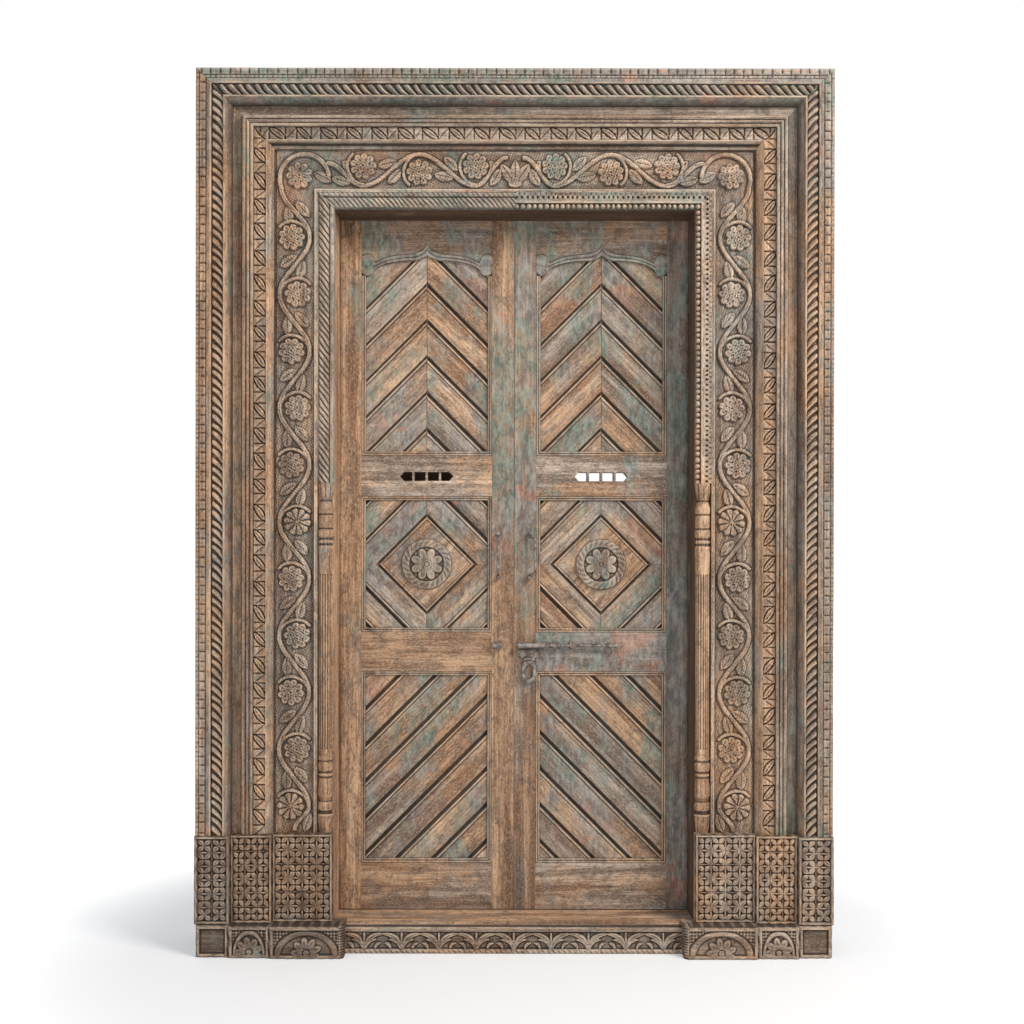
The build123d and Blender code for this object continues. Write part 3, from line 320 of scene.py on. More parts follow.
def carved_shape(x, z, front, back):
    """Points, faces, relief and depth of a block with a front carved over a grid, and a flat back."""
    rows, columns = x.shape
    face = np.stack([x, face_y - front, z], axis=2).reshape(-1, 3)
    faces = sheet_faces(rows, columns)
    rim = [(0, column) for column in range(columns)]
    rim += [(row, columns - 1) for row in range(1, rows)]
    rim += [(rows - 1, column) for column in range(columns - 2, -1, -1)]
    rim += [(row, 0) for row in range(rows - 2, 0, -1)]
    behind = {place: len(face) + index for index, place in enumerate(rim)}
    rear = np.array([(x[place], face_y - back, z[place]) for place in rim])
    for first, second in zip(rim, rim[1:] + rim[:1]):
        before, after = (row * columns + column for row, column in (first, second))
        faces.append([before, after, behind[second], behind[first]])
    end = rows - 1
    for column in range(columns - 1):
        near = [behind[row, 0] for row in range(end - 1, 0, -1)] if column == 0 else []
        far = [behind[row, columns - 1] for row in range(1, end)] if column == columns - 2 else []
        lower = [behind[0, column], behind[0, column + 1]]
        faces.append(lower + far + [behind[end, column + 1], behind[end, column]] + near)
    relief = np.clip((front - blurred(front)) / relief_depth, -1, 1).ravel()
    deepest = np.percentile(front, 3)
    highest = np.percentile(front, 97)
    depth = np.clip((highest - front) / max(highest - deepest, 1), 0, 1).ravel()
    return np.concatenate([face, rear]), faces, relief, depth


def carved_solid(name, x, z, front, back):
    return solid(name, *carved_shape(x, z, front, back))


def run_place(side, s, u):
    """From a place along the run and outward from the doorway to X and Z."""
    if side == "left":
        return -(door_half + u), s
    if side == "head":
        return s, head_z + u
    return door_half + u, s


def lines_across(*edges, pitch):
    """Where the grid has lines across a moulding: close together on both sides of each edge."""
    places = []
    for near, far in zip(edges, edges[1:]):
        count = max(2, round((far - near - 0.8) / pitch) + 1)
        places.extend(np.linspace(near + 0.4, far - 0.4, count))
    places[0] = edges[0]
    places[-1] = edges[-1]
    return np.array(places)


def wobble(x, z, size):
    """A slow unevenness, as hand planing leaves it."""
    return size * (
        np.sin(x * 0.031 + z * 0.017 + 1.3) * 0.4
        + np.sin(z * 0.043 - x * 0.023) * 0.35
        + np.sin(x * 0.11 + z * 0.083 + 2.1) * 0.25
    )


def carved_run(kind, side, cut, across, pitch):
    """One mitred bar of the surround, from its foot to its mitre or between both mitres.

    cut gives the front from u, which runs outward from the doorway, and from X and Z."""
    name = f"{kind}_{side}"
    low, high = span(name)
    if side == "head":
        start, end = -(door_half + across), door_half + across
    else:
        start, end = np.full_like(across, low.z), head_z + across
    count = int((end - start).max() / pitch) + 1
    share = np.linspace(0, 1, count)[:, None]
    s = start + (end - start) * share
    u = np.broadcast_to(across, s.shape)
    x, z = run_place(side, s, u)
    front = cut(side, u, x, z) + wobble(x, z, 0.5)
    front = np.minimum(front, face_y - low.y)
    piece = carved_solid(f"{name}_carving", x, z, front, face_y - high.y)
    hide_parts(name)
    return piece


def lay_runs(kind, cut, across, pitch, finishes, shift, **aging):
    """The left, head and right bar of a moulding; finishes has each one's silvering, paint, darkness."""
    for side, (silvering, paint, darkness) in zip(("left", "head", "right"), finishes):
        piece = carved_run(kind, side, cut, across, pitch)
        grain = "level" if side == "head" else "up"
        aging.update(darkness=darkness, shift=len(side) * shift)
        dress(piece, teak(f"{kind}_{side}_teak", grain, silvering, paint, **aging))


def dome(offset, width):
    """Half round: 1 in the middle, 0 at half the width away."""
    return np.sqrt(np.clip(1 - (2 * offset / width) ** 2, 0, 1))


def share_of(place, pitch):
    return place / pitch - np.floor(place / pitch)


def by_eye(along):
    """A place along a run as a carver spaces it, without a ruler."""
    return along + 1.7 * np.sin(along * 0.041 + 1) + 1.2 * np.sin(along * 0.113)


rope_pitch = 20.0
rope_slant = 1.3
twine_pitch = 14.3
twine_slant = 0.9
core_wide = 31.0
core_high = 13.0
pearl_pitch = 16.2
dot_pitch = 14.5
dot_size = 3.4
rope_top = face_y - span("rope_head")[0].y
rope_wide = span("rope_head")[1].z - head_z


def cut_rope(side, u, x, z):
    x, z = by_eye(x), by_eye(z)
    along = x if side == "head" else z
    if side == "head":
        strand = 0.2 + 0.8 * dome(share_of(x + twine_slant * u, twine_pitch) - 0.5, 1.0)
        core = rope_top - core_high + core_high * dome(u - 18, core_wide) * strand
        thin = rope_top - 8 + 7 * dome(u - 40.5, 13) * strand
        rope = np.where(u < 33.5, core, thin)
    else:
        strand = 0.15 + 0.85 * dome(share_of(z - rope_slant * u, rope_pitch) - 0.45, 0.9)
        core = rope_top - core_high + core_high * dome(u - 29, core_wide) * strand
        reed = rope_top - 11 + 5 * dome(u - 6, 14)
        rope = np.where(u < 13, reed, np.where(u < 44, core, rope_top - 9))
    pearl_at = share_of(along, pearl_pitch) - 0.5
    pearl = rope_top - 14 + 11 * np.sqrt(np.clip(1 - ((u - 8) / 7.5) ** 2 - (pearl_at / 0.44) ** 2, 0, 1))
    dot_at = (share_of(along, dot_pitch) - 0.5) * dot_pitch
    strip = rope_top - 3 - 7 * (np.hypot(dot_at, u - 33) < dot_size) - 2.5 * (np.abs(dot_at) > 5.6) * (u > 38)
    dotted = np.where(u < 16, pearl, np.where(u < 27, rope_top - 1.5, strip))
    if side == "head":
        return np.where(x < 5, rope, dotted)
    return dotted if side == "right" else rope


rope_lines = lines_across(0, 13, 16, 27, 33.5, 38, 44, rope_wide, pitch=2.4)
rope_finishes = ((0.6, 0.45, 0.0), (0.7, 0.75, 0.0), (0.6, 0.35, 0.0))
lay_runs("rope", cut_rope, rope_lines, 2.6, rope_finishes, 0.7, grime=0.56)

# Flower and vine board: one plank carved with a vine that winds round a flower at every bend. Side
# shoots curl over the flowers, pointed leaves fill its forks, and it has a loop of its own round the
# flower in each upper corner.
vine_low, vine_high = span("vine_head")
vine_near = vine_low.z - head_z
vine_far = vine_high.z - head_z
vine_foot = span("vine_left")[0].z
board_top = face_y - vine_low.y
ground_front = board_top - 12
flower_size = 39.0
flower_out = 123.5
flower_in = 105.5
corner_out = 102.0
corner_height = 96.0
side_drop = 81.0
side_pitch = 164.0
head_first = 114.0
head_pitch = 162.0
vine_outer = 158.0
vine_inner = 71.0
loop_middle = 87.0
loop_size = 71.0
stem_wide = 13.0
arm_wide = 9.5
arm_far = 52.5
arm_turn = 1.55
leaf_long = 56.0
leaf_wide = 29.0
bud_z = head_z + 78
vine_paths = []
vine_flowers = []
vine_leaves = []


def side_flowers(sign):
    """Flowers down one side: X, Z, and whether it is set outward."""
    places = []
    height = head_z - side_drop
    while height > vine_foot + flower_size:
        outward = len(places) % 2 == 0
        places.append((sign * (door_half + (flower_out if outward else flower_in)), height, outward))
        height -= side_pitch
    return places


def head_flowers(sign):
    """Flowers from the middle of the head to one corner: X, Z, and whether it is set outward."""
    places = []
    for index, outward in enumerate((True, False, True)):
        height = head_z + (flower_out if outward else flower_in)
        places.append((sign * (head_first + index * head_pitch), height, outward))
    return places


def winding(ends, count):
    """A smooth curve through bends, steepest halfway between them."""
    path = []
    for (x0, z0), (x1, z1) in zip(ends, ends[1:]):
        for step in range(count):
            share = step / count
            swing = (1 - math.cos(math.pi * share)) / 2
            if abs(z1 - z0) > abs(x1 - x0):
                path.append((x0 + (x1 - x0) * swing, z0 + (z1 - z0) * share))
            else:
                path.append((x0 + (x1 - x0) * share, z0 + (z1 - z0) * swing))
    path.append(ends[-1])
    return path


def arm(x, z, start, over):
    """A side shoot that leaves the vine beside a flower and curls over it, angles in degrees."""
    turn = (over - start + 180) % 360 - 180
    path = []
    for step in range(31):
        share = step / 30
        angle = math.radians(start + turn * arm_turn * share)
        reach = arm_far - 7.0 * min(share * 2.2, 1)
        path.append((x + reach * math.cos(angle), z + reach * math.sin(angle)))
    return path


def grow(bends, off, turn, lean=0.0):
    """The vine through its bends, with a pair of leaves halfway between each two."""
    vine_paths.append((winding(bends, 40), stem_wide))
    for (x0, z0), (x1, z1) in zip(bends, bends[1:]):
        angle = math.atan2(z1 - z0, x1 - x0) + lean
        for hand in (-1, 1):
            x = (x0 + x1) / 2 - off * hand * math.sin(angle)
            z = (z0 + z1) / 2 + off * hand * math.cos(angle)
            vine_leaves.append((x, z, angle + hand * turn))


for sign in (-1, 1):
    loop = []
    for step in range(61):
        angle = math.radians(-20 + step * 3.2)
        reach = loop_middle + loop_size * math.cos(angle)
        loop.append((sign * (door_half + reach), head_z + loop_middle + loop_size * math.sin(angle)))
    vine_paths.append((loop, stem_wide))
    vine_flowers.append((sign * (door_half + corner_out), head_z + corner_height))
    places = side_flowers(sign)
    bends = [loop[0]]
    for x, z, outward in places:
        bends.append((sign * (door_half + (vine_inner if outward else vine_outer)), z))
    bends.append((sign * (door_half + 112), vine_foot + 8))
    grow(bends, 22, 0.35, sign * 0.12)
    for x, z, outward in places:
        vine_paths.append((arm(x, z, 0 if (sign > 0) != outward else 180, 90), arm_wide))
        vine_flowers.append((x, z))
    places = head_flowers(sign)
    bends = [(sign * 26, head_z + 148)]
    for x, z, outward in places:
        bends.append((x, head_z + (vine_inner - 4 if outward else vine_outer)))
    bends.append((sign * (door_half + 20), head_z + 132))
    grow(bends, 21, 0.3)
    for x, z, outward in places:
        vine_paths.append((arm(x, z, 270 if outward else 90, 0 if sign > 0 else 180), arm_wide))
        vine_flowers.append((x, z))
    vine_leaves.append((sign * (door_half + 34), head_z + 92, math.radians(90 - sign * 62)))


def pointed_leaf(x, z, place_x, place_z, angle, length, width):
    """Height of a pointed leaf with a sunk midrib and fine slanting veins, 0 to about 1."""
    along = (x - place_x) * math.cos(angle) + (z - place_z) * math.sin(angle)
    across = -(x - place_x) * math.sin(angle) + (z - place_z) * math.cos(angle)
    half = width / 2 * np.clip(1 - (2 * along / length) ** 2, 0, 1) ** 0.75
    inside = (np.abs(across) < half) & (half > 0.2)
    blade = np.sqrt(np.clip(1 - (across / np.maximum(half, 0.2)) ** 2, 0, 1)) ** 0.5
    midrib = 0.42 * np.exp(-((across / 1.5) ** 2))
    veins = 0.10 * np.sin((along + np.abs(across) * 0.9) * 1.35)
    return np.where(inside, np.clip(blade - midrib + veins, 0.12, 1.1), 0)


def petals(radius, angle, inner, outer, count, turn=0.0):
    """Height of a ring of rounded petals, each hollowed inside a raised rim, 0 to 1."""
    middle = outer - (outer - inner) * 0.45
    side = share_of(angle / (2 * math.pi) * count + turn, 1.0) - 0.5
    rise = (radius - middle) / (outer - middle)
    long = np.where(radius > middle, rise, (middle - radius) / (middle - inner))
    edge = np.hypot(long, side * 1.85 * np.maximum(radius, 1) / middle)
    return np.clip(1 - edge**6, 0, 1) * (1 - 0.38 * np.exp(-((edge / 0.5) ** 2)))


def flower(x, z, place_x, place_z, size, daisy):
    """Height of one flower above the board's ground."""
    radius = np.hypot(x - place_x, z - place_z)
    angle = np.arctan2(z - place_z, x - place_x) + place_z * 0.01
    if daisy:
        side = np.abs(share_of(angle / (2 * math.pi) * 10, 1.0) - 0.5) * 2
        tip = size * (1 - 0.28 * side**3)
        ray = np.clip(1 - side**3, 0, 1) ** 0.6 * (radius < tip)
        return np.where(radius < size * 0.12, 11, 1.5 * (radius < size * 0.9) + 9.5 * ray)
    outer = 9.5 * petals(radius, angle, size * 0.42, size, 9)
    inner = 11.5 * petals(radius, angle, size * 0.16, size * 0.60, 7, 0.5)
    core = (radius < size * 0.20) * (11.5 - 6 * np.exp(-((radius / 3.2) ** 2)))
    base = 3.5 * (radius < size * 0.84)
    return np.maximum.reduce([base, outer * (radius > size * 0.5), inner, core])


def cut_vine(side, u, x, z):
    ground = ground_front + 1.5 * np.sin(x * 0.62 + z * 0.25) * np.sin(z * 0.55 - x * 0.2)
    raised = np.zeros_like(x)
    flat_x, flat_z = x.ravel(), z.ravel()
    for path, wide in vine_paths:
        tree = kdtree.KDTree(len(path))
        for index, (path_x, path_z) in enumerate(path):
            tree.insert((path_x, 0, path_z), index)
        tree.balance()
        reach = stem_wide
        low_x, high_x = min(p[0] for p in path) - reach, max(p[0] for p in path) + reach
        low_z, high_z = min(p[1] for p in path) - reach, max(p[1] for p in path) + reach
        near = np.nonzero((flat_x > low_x) & (flat_x < high_x) & (flat_z > low_z) & (flat_z < high_z))[0]
        gap = np.full(flat_x.shape, 99.0)
        gap[near] = [tree.find((flat_x[i], 0, flat_z[i]))[2] for i in near]
        gap = gap.reshape(x.shape)
        stem = 10.5 * dome(gap, wide) ** 0.7 - 2.4 * np.exp(-((gap / 1.7) ** 2))
        raised = np.maximum(raised, np.where(gap < wide / 2, stem, 0))
        ground = ground - 1.2 * ((gap >= wide / 2) & (gap < wide / 2 + 4))
    for place_x, place_z, angle in vine_leaves:
        near = np.hypot(x - place_x, z - place_z) < leaf_long
        if near.any():
            blade = 8.5 * pointed_leaf(x[near], z[near], place_x, place_z, angle, leaf_long, leaf_wide)
            raised[near] = np.maximum(raised[near], blade)
    for index, (place_x, place_z) in enumerate(vine_flowers):
        near = np.hypot(x - place_x, z - place_z) < flower_size + 2
        if near.any():
            daisy = abs(place_x) > door_half and index % 5 == 1 and place_z < head_z - 500
            bloom = flower(x[near], z[near], place_x, place_z, flower_size, daisy)
            raised[near] = np.where(bloom > 0, bloom, -1)
    if side == "head":
        for turn in (-0.62, 0, 0.62):
            angle = math.pi / 2 - turn
            place_x = 34 * math.sin(turn)
            place_z = bud_z + 34 * math.cos(turn) - 6
            blade = 10 * pointed_leaf(x, z, place_x, place_z, angle, 74, 30)
            raised = np.maximum(raised, blade)
        base = np.hypot(x / 1.6, z - bud_z + 4) < 12
        raised = np.where(base, 8, raised)
    field = ground + raised
    front = np.where(u < vine_near + 10, board_top - 1.5, field)
    return np.where(u > vine_far - 4, ground_front - 2, np.minimum(front, board_top))


vine_lines = lines_across(vine_near, vine_near + 10, vine_far - 4, vine_far, pitch=2.4)
vine_finishes = ((0.55, 0.45, 0.0), (0.6, 0.45, 0.0), (0.6, 0.45, 0.0))
lay_runs("vine", cut_vine, vine_lines, 2.5, vine_finishes, 0.9, around=1.9, reach=1.6, grime=0.72)

# Zigzag bar: a plain rounded fillet and a band of leaves laid in zigzag, each split down its middle,
# with a short plain leaf between.
zigzag_near = vine_far
zigzag_far = span("zigzag_head")[1].z - head_z
zigzag_top = face_y - span("zigzag_left")[0].y
zigzag_pitch = 73.0
leaf_square = 45.0
band_near = zigzag_near + 22
band_far = zigzag_near + 57
fillet_fall = 22.0
groove_wide = 3.6


def cut_zigzag(side, u, x, z):
    along = by_eye(z if side != "head" else -x)
    fillet = zigzag_top - fillet_fall * np.clip((band_near - u) / (band_near - zigzag_near), 0, 1)
    if side == "head":
        fillet = zigzag_top - 1 - (fillet_fall - 2) * np.clip((band_near - 4 - u) / 7, 0, 1)
    band = band_far - band_near
    a = share_of(along, zigzag_pitch) * zigzag_pitch
    v = u - band_near
    lean = math.atan2(band, leaf_square)
    length = math.hypot(band, leaf_square) - 4
    leaf = pointed_leaf(a, v, leaf_square / 2, band / 2, lean, length, 15)
    bed = pointed_leaf(a, v, leaf_square / 2, band / 2, lean, length + 8, 15 + 2 * groove_wide) > 0
    corners = np.where(bed, 0, 0.72 - 0.12 * np.sin(a * 0.9 + v * 0.7))
    split = np.maximum(leaf, corners)
    c = (a - leaf_square) / (zigzag_pitch - leaf_square)
    crease = (c - 1 + v / band) * band
    smooth = 0.82 - 0.4 * np.exp(-((crease / 2.2) ** 2)) - 0.16 * np.clip(crease / band, -1, 1)
    raised = np.where(a < leaf_square, split, smooth)
    joint = np.minimum.reduce([a, np.abs(a - leaf_square), zigzag_pitch - a])
    raised = raised - 0.55 * np.exp(-((joint / 1.7) ** 2))
    field = zigzag_top - 11 + 10 * raised
    return np.where(u < band_near, fillet, np.where(u > band_far, zigzag_top - 12, field))


zigzag_lines = lines_across(zigzag_near, band_near, band_far, zigzag_far, pitch=2.2)
zigzag_finishes = ((0.4, 0.3, 0.0), (0.75, 0.4, 0.0), (0.4, 0.25, 0.08))
lay_runs("zigzag", cut_zigzag, zigzag_lines, 2.5, zigzag_finishes, 1.1)

# Reed and cove bar: one teak bar planted beside the zigzag, run with a plane to three soft reeds and a
# hollow that lies in shadow.
cove_near = zigzag_far
cove_far = span("cove_head")[1].z - head_z
cove_top = face_y - span("cove_left")[0].y
reed_wide = 11.0
reeds_far = cove_near + 3 * reed_wide
groove_far = reeds_far + 4


def cut_cove(side, u, x, z):
    v = u - cove_near
    reeds = cove_top - 6 + 6 * dome(share_of(v, reed_wide) - 0.5, 1.0)
    hollow = cove_top - 15 - 3 * dome(v - 47, 24)
    return np.where(u < reeds_far, reeds, np.where(u < groove_far, cove_top - 19, hollow))


cove_lines = lines_across(cove_near, reeds_far, groove_far, cove_far, pitch=1.8)
cove_finishes = ((0.4, 0.4, 0.14), (0.7, 0.3, 0.0), (0.65, 0.45, 0.08))
lay_runs("cove", cut_cove, cove_lines, 12.0, cove_finishes, 1.3)

# Outer surround: a hollowed lip, a band of slanting comma leaves, a rounded fillet, and two rows of
# small square beads along the outer edge.
surround_near = cove_far
surround_far = span("surround_head")[1].z - head_z
surround_top = face_y - span("surround_left")[0].y
lip_wide = 17
edge_near = surround_near + lip_wide
comma_near = surround_near + 22
comma_far = comma_near + 34
bead_near = comma_far + 14
comma_pitch = 25.0
bead_pitch = 27.0
side_bead_far = bead_near + 20.0
head_bead_near = bead_near + 9.0


def pillow(along, across, long, wide):
    """Height of square beads with rounded edges and a groove round each, 0 to 1."""
    p = np.abs(share_of(along, long) * 2 - 1)
    q = np.abs(2 * across / wide - 1)
    return np.clip(1 - np.maximum(p, q) ** 4, 0, 1) ** 0.7 * (q < 1)


def cut_surround(side, u, x, z):
    along = by_eye(z if side != "head" else -x)
    lip = surround_top - 26 + 23 * np.clip((u - surround_near) / lip_wide, 0, 1) ** 1.5
    w = np.clip((u - comma_near) / (comma_far - comma_near), 0, 1)
    t = share_of(along - 46 * w + 15 * w**2, comma_pitch)
    body = t / (0.80 - 0.20 * w)
    ridge = np.sin(math.pi * np.clip(body, 0, 1) ** 0.8) ** 0.7
    ridge = ridge - 0.22 * np.exp(-(((body - 0.66) / 0.06) ** 2))
    comma = surround_top - 12 + 11.5 * ridge * (1 - w**8) - 2.5 * (1 - w)
    fillet = surround_top - 4 + 3.5 * dome(u - (comma_far + bead_near) / 2, bead_near - comma_far)
    if side == "head":
        main = pillow(along, u - head_bead_near, bead_pitch, surround_far - head_bead_near)
        small = pillow(along, u - bead_near, bead_pitch / 2, head_bead_near - bead_near)
        bead = np.where(u > head_bead_near, main, 0.7 * small)
    else:
        main = pillow(along, u - bead_near, bead_pitch, side_bead_far - bead_near)
        small = pillow(along, u - side_bead_far, bead_pitch / 2, surround_far - side_bead_far)
        bead = np.where(u < side_bead_far, main, 0.6 * small)
    bead = surround_top - 6.5 + 6 * bead
    front = np.where(u < comma_far, comma, np.where(u < bead_near, fillet, bead))
    return np.where(u < edge_near, lip, np.where(u < comma_near, surround_top - 1, front))


surround_edges = (surround_near, edge_near, comma_near, comma_far, bead_near, head_bead_near, side_bead_far)
surround_lines = lines_across(*surround_edges, surround_far, pitch=2.4)
surround_finishes = ((0.4, 0.42, 0.08), (0.7, 1.0, 0.08), (0.5, 0.5, 0.17))
lay_runs("surround", cut_surround, surround_lines, 2.6, surround_finishes, 1.7)

# Half columns: turned in one with their caps and feet, split down the middle and planted on the
# posts. The caps are cut as cups of leaves, the shafts are lightly fluted.
turns = 44
flutes_low = 240
flutes_high = 262
flute_deep = 1.9
both_sides = (("left", -1), ("right", 1))


def cup(z, low, high, angle, leaves, depth):
    """How much upright leaves are cut into a cup between two heights."""
    inside = (z > low) & (z < high)
    share = np.clip((z - low) / (high - low), 0, 1)
    leaf = np.abs(np.sin(angle * leaves)) ** 0.6
    return np.where(inside, depth * (leaf - 1) * np.sin(math.pi * share) ** 0.4, 0)


for side, sign in both_sides:
    low, high = span(f"column_{side}")
    top, foot = high.z, low.z
    radius = (high.x - low.x) / 2
    centre_x = (high.x + low.x) / 2
    turning = [
        (foot, 0.80), (foot + 30, 0.96), (foot + 52, 1.0), (foot + 55, 0.78), (foot + 62, 0.74),
        (foot + 66, 0.92), (foot + 75, 1.0), (foot + 86, 0.94), (foot + 90, 0.82), (foot + 98, 0.82),
        (foot + 108, 0.98), (foot + 130, 1.0), (foot + 152, 0.86), (foot + 160, 0.78), (foot + 166, 0.92),
        (foot + 174, 0.78), (foot + 182, 0.94), (foot + 196, 0.98), (foot + 206, 0.84), (foot + 214, 0.96),
        (foot + 226, 0.86), (foot + 240, 0.90), (top - 262, 0.88), (top - 248, 0.90), (top - 200, 0.97),
        (top - 184, 0.98), (top - 176, 0.80), (top - 168, 0.96), (top - 160, 0.80), (top - 150, 0.98),
        (top - 138, 0.99), (top - 130, 0.84), (top - 126, 0.92), (top - 94, 0.92), (top - 90, 0.84),
        (top - 84, 0.97), (top - 72, 0.99), (top - 62, 0.88), (top - 50, 0.72), (top - 42, 0.80),
        (top - 26, 0.98), (top, 1.0),
    ]
    heights = np.arange(foot, top + 1, 2.6)
    heights[-1] = top
    rounds = np.interp(heights, [p[0] for p in turning], [p[1] for p in turning]) * radius
    angle = np.linspace(0, math.pi, turns)[None, :]
    z = np.repeat(heights[:, None], turns, axis=1)
    reach = np.repeat(rounds[:, None], turns, axis=1)
    reach = reach + cup(z, top - 44, top - 2, angle, 4, 3.2) + cup(z, top - 200, top - 152, angle, 5, 2.2)
    reach = reach + cup(z, foot + 4, foot + 52, angle, 4, 3.0) + cup(z, foot + 104, foot + 156, angle, 5, 2.0)
    fluted = (z > foot + flutes_low) & (z < top - flutes_high)
    reach = reach - np.where(fluted, flute_deep * (0.5 + 0.5 * np.cos(angle * 16)), 0)
    x = centre_x + np.cos(angle) * reach
    front = (face_y - high.y) + np.maximum(np.sin(angle) * reach, 0.05)
    points = np.stack([x, face_y - front, z], axis=2).reshape(-1, 3)
    faces = sheet_faces(len(heights), turns)
    last = turns - 1
    for start in range(0, (len(heights) - 1) * turns, turns):
        faces.append([start, start + last, start + turns + last, start + turns])
    faces.append(list(range(turns)))
    faces.append([(len(heights) - 1) * turns + column for column in range(turns)])
    relief = np.clip((reach - blurred(reach)) / 1.6, -1, 1).ravel()
    depth = np.clip((radius - reach) / (radius * 0.3), 0, 1).ravel()
    piece = solid(f"column_{side}_turned", points, faces, relief, depth)
    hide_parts(f"column_{side}")
    dress(piece, teak(f"column_{side}_teak", "up", 0.2, 0.35, around=1.25, reach=0.35, shift=sign * 2.2))


# Plinths: three teak blocks on each side, planted under the mouldings and cut all over with a lattice
# of four-leaved stars inside a plain border.
def lattice(x, z, low, high, columns, rows, border, depth):
    """How far a plinth's field of stars lies behind its plain border, 0 or below."""
    wide = (high.x - low.x - 2 * border) / columns
    tall = (high.z - low.z - 2 * border) / rows
    p = share_of(x - low.x - border, wide) * 2 - 1
    q = share_of(z - low.z - border, tall) * 2 - 1
    a = (p + q) / math.sqrt(2)
    b = (p - q) / math.sqrt(2)
    height = np.zeros_like(x)
    for along, across in ((a, b), (b, a)):
        half = 0.40 * np.clip(np.sin(math.pi * np.clip((np.abs(along) - 0.06) / 1.18, 0, 1)), 0, 1) ** 0.8
        blade = np.sqrt(np.clip(1 - (across / np.maximum(half, 0.01)) ** 2, 0, 1))
        blade = blade - 0.3 * np.exp(-((across / 0.07) ** 2))
        height = np.maximum(height, np.where(np.abs(across) < half, blade, 0))
    rib = np.maximum(np.abs(p), np.abs(q)) > 0.90
    height = np.where(rib, 0.62, height)
    inside = (x > low.x + border) & (x < high.x - border) & (z > low.z + border) & (z < high.z - border)
    return np.where(inside, -depth * (1 - height), 0)


def block(name, low, high, back, cut, pitch):
    """An upright block with a carved front between two corners; cut gives its front."""
    xs = np.linspace(low.x, high.x, int((high.x - low.x) / pitch) + 2)
    zs = np.linspace(low.z, high.z, int((high.z - low.z) / pitch) + 2)
    x, z = np.meshgrid(xs, zs)
    return carved_solid(name, x, z, cut(x, z), back)


def worn_rim(x, z, low, high, size):
    """Rounds off the rim of a block, more where it was knocked."""
    edge = np.minimum.reduce([x - low.x, high.x - x, z - low.z, high.z - z])
    wear = size * (1 + 0.4 * np.sin(x * 0.21 + z * 0.13))
    return -np.clip(1 - edge / np.maximum(wear, 0.5), 0, 1) ** 2 * wear


plinth_counts = {"inner": 4, "middle": 3, "outer": 2}
plinth_border = {"inner": 5.0, "middle": 6.0, "outer": 7.0}
plinth_finish = {"inner": (0.5, 0.2, 0.54), "middle": (0.4, 0.1, 0.58), "outer": (0.6, 0.5, 0.60)}
for side, sign in both_sides:
    for place, columns in plinth_counts.items():
        name = f"plinth_{place}_{side}"
        low, high = span(name)
        top = face_y - low.y

        def cut_plinth(x, z):
            stars = lattice(x, z, low, high, columns, 6, plinth_border[place], 9.0)
            return top + stars + worn_rim(x, z, low, high, 3.0) + wobble(x, z, 0.4) - 0.4

        piece = block(f"{name}_carving", low, high, face_y - high.y, cut_plinth, 2.3)
        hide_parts(name)
        silvering, paint, darkness = plinth_finish[place]
        if side == "right":
            darkness -= 0.42
        finish = teak(f"{name}_teak", "up", silvering, paint, darkness=darkness, shift=sign * 1.9 + columns)
        dress(piece, finish)


# Base blocks: three steps on each side in one timber, with an arch and a half flower cut on the two
# inner faces, a plain sunk panel on the outer one, and the inner corner chamfered and roped.
def arch_face(x, z, low, high, top, arched):
    """Front of one face of a base block."""
    border = 10.0
    sunk_by = 7.0
    middle = (low.x + high.x) / 2
    wide = (high.x - low.x) / 2 - border
    tall = high.z - low.z - 2 * border
    flower_high = tall * 0.62
    p = (x - middle) / wide
    q = (z - low.z - border) / tall
    inside = (np.abs(p) < 1) & (q > 0) & (q < 1)
    sunk = np.full_like(x, -sunk_by)
    if arched:
        radius = np.hypot(p, q * 0.98)
        sunk = sunk + 6.5 * dome(radius - 0.86, 0.20)
        bloom = np.hypot(p * wide, (q - 0.10) * tall)
        around = np.arctan2((q - 0.10) * tall, p * wide)
        raised = petals(bloom, around, 8, flower_high, 9) * (bloom < flower_high)
        sunk = np.maximum(sunk, sunk_by * raised - sunk_by)
        sunk = np.where(bloom < 8, -1.5, sunk)
        spandrel = radius > 1.02
        sunk = np.where(spandrel, -5 + 2.5 * np.sin((x + z) * 0.35) * np.sin((x - z) * 0.35), sunk)
    return top + np.where(inside, sunk, 0)


base_darkness = {"left": 0.50, "right": 0.06}
step_backs = (0, 6, 14)
chamfer_wide = 14
for side, sign in both_sides:
    low, high = span(f"base_{side}")
    steps = []
    for place in plinth_counts:
        plinth_low, plinth_high = span(f"plinth_{place}_{side}")
        steps.append((plinth_low.x, plinth_high.x))
    inner_edge = high.x if sign < 0 else low.x
    outer_edge = low.x if sign < 0 else high.x
    for index, (x0, x1) in enumerate(steps):
        if index == 0:
            x0, x1 = (x0, inner_edge) if sign < 0 else (inner_edge, x1)
        if index == 2:
            x0, x1 = (outer_edge, x1) if sign < 0 else (x0, outer_edge)
        block_low = Vector((x0, 0, low.z))
        block_high = Vector((x1, 0, high.z))
        top = face_y - low.y - step_backs[index]

        def cut_base(x, z):
            front = arch_face(x, z, block_low, block_high, top, index < 2)
            front = front + worn_rim(x, z, block_low, block_high, 6.0) + wobble(x, z, 0.7) - 0.7
            if index == 0:
                inward = np.abs(x - inner_edge)
                notch = 3.0 * np.sin(z * 0.42) ** 2
                front = np.where(inward < chamfer_wide, top - chamfer_wide + inward - notch, front)
            return front

        back = face_y - (span("jamb_left")[0].y if index == 0 else high.y)
        piece = block(f"base_{side}_step_{index + 1}", block_low, block_high, back, cut_base, 2.4)
        finish = teak(f"base_{side}_{index}_teak", "level", 0.7, 0.25,
                      darkness=base_darkness[side], shift=sign + index)
        dress(piece, finish)
        if index == 0:
            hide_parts(f"base_{side}")

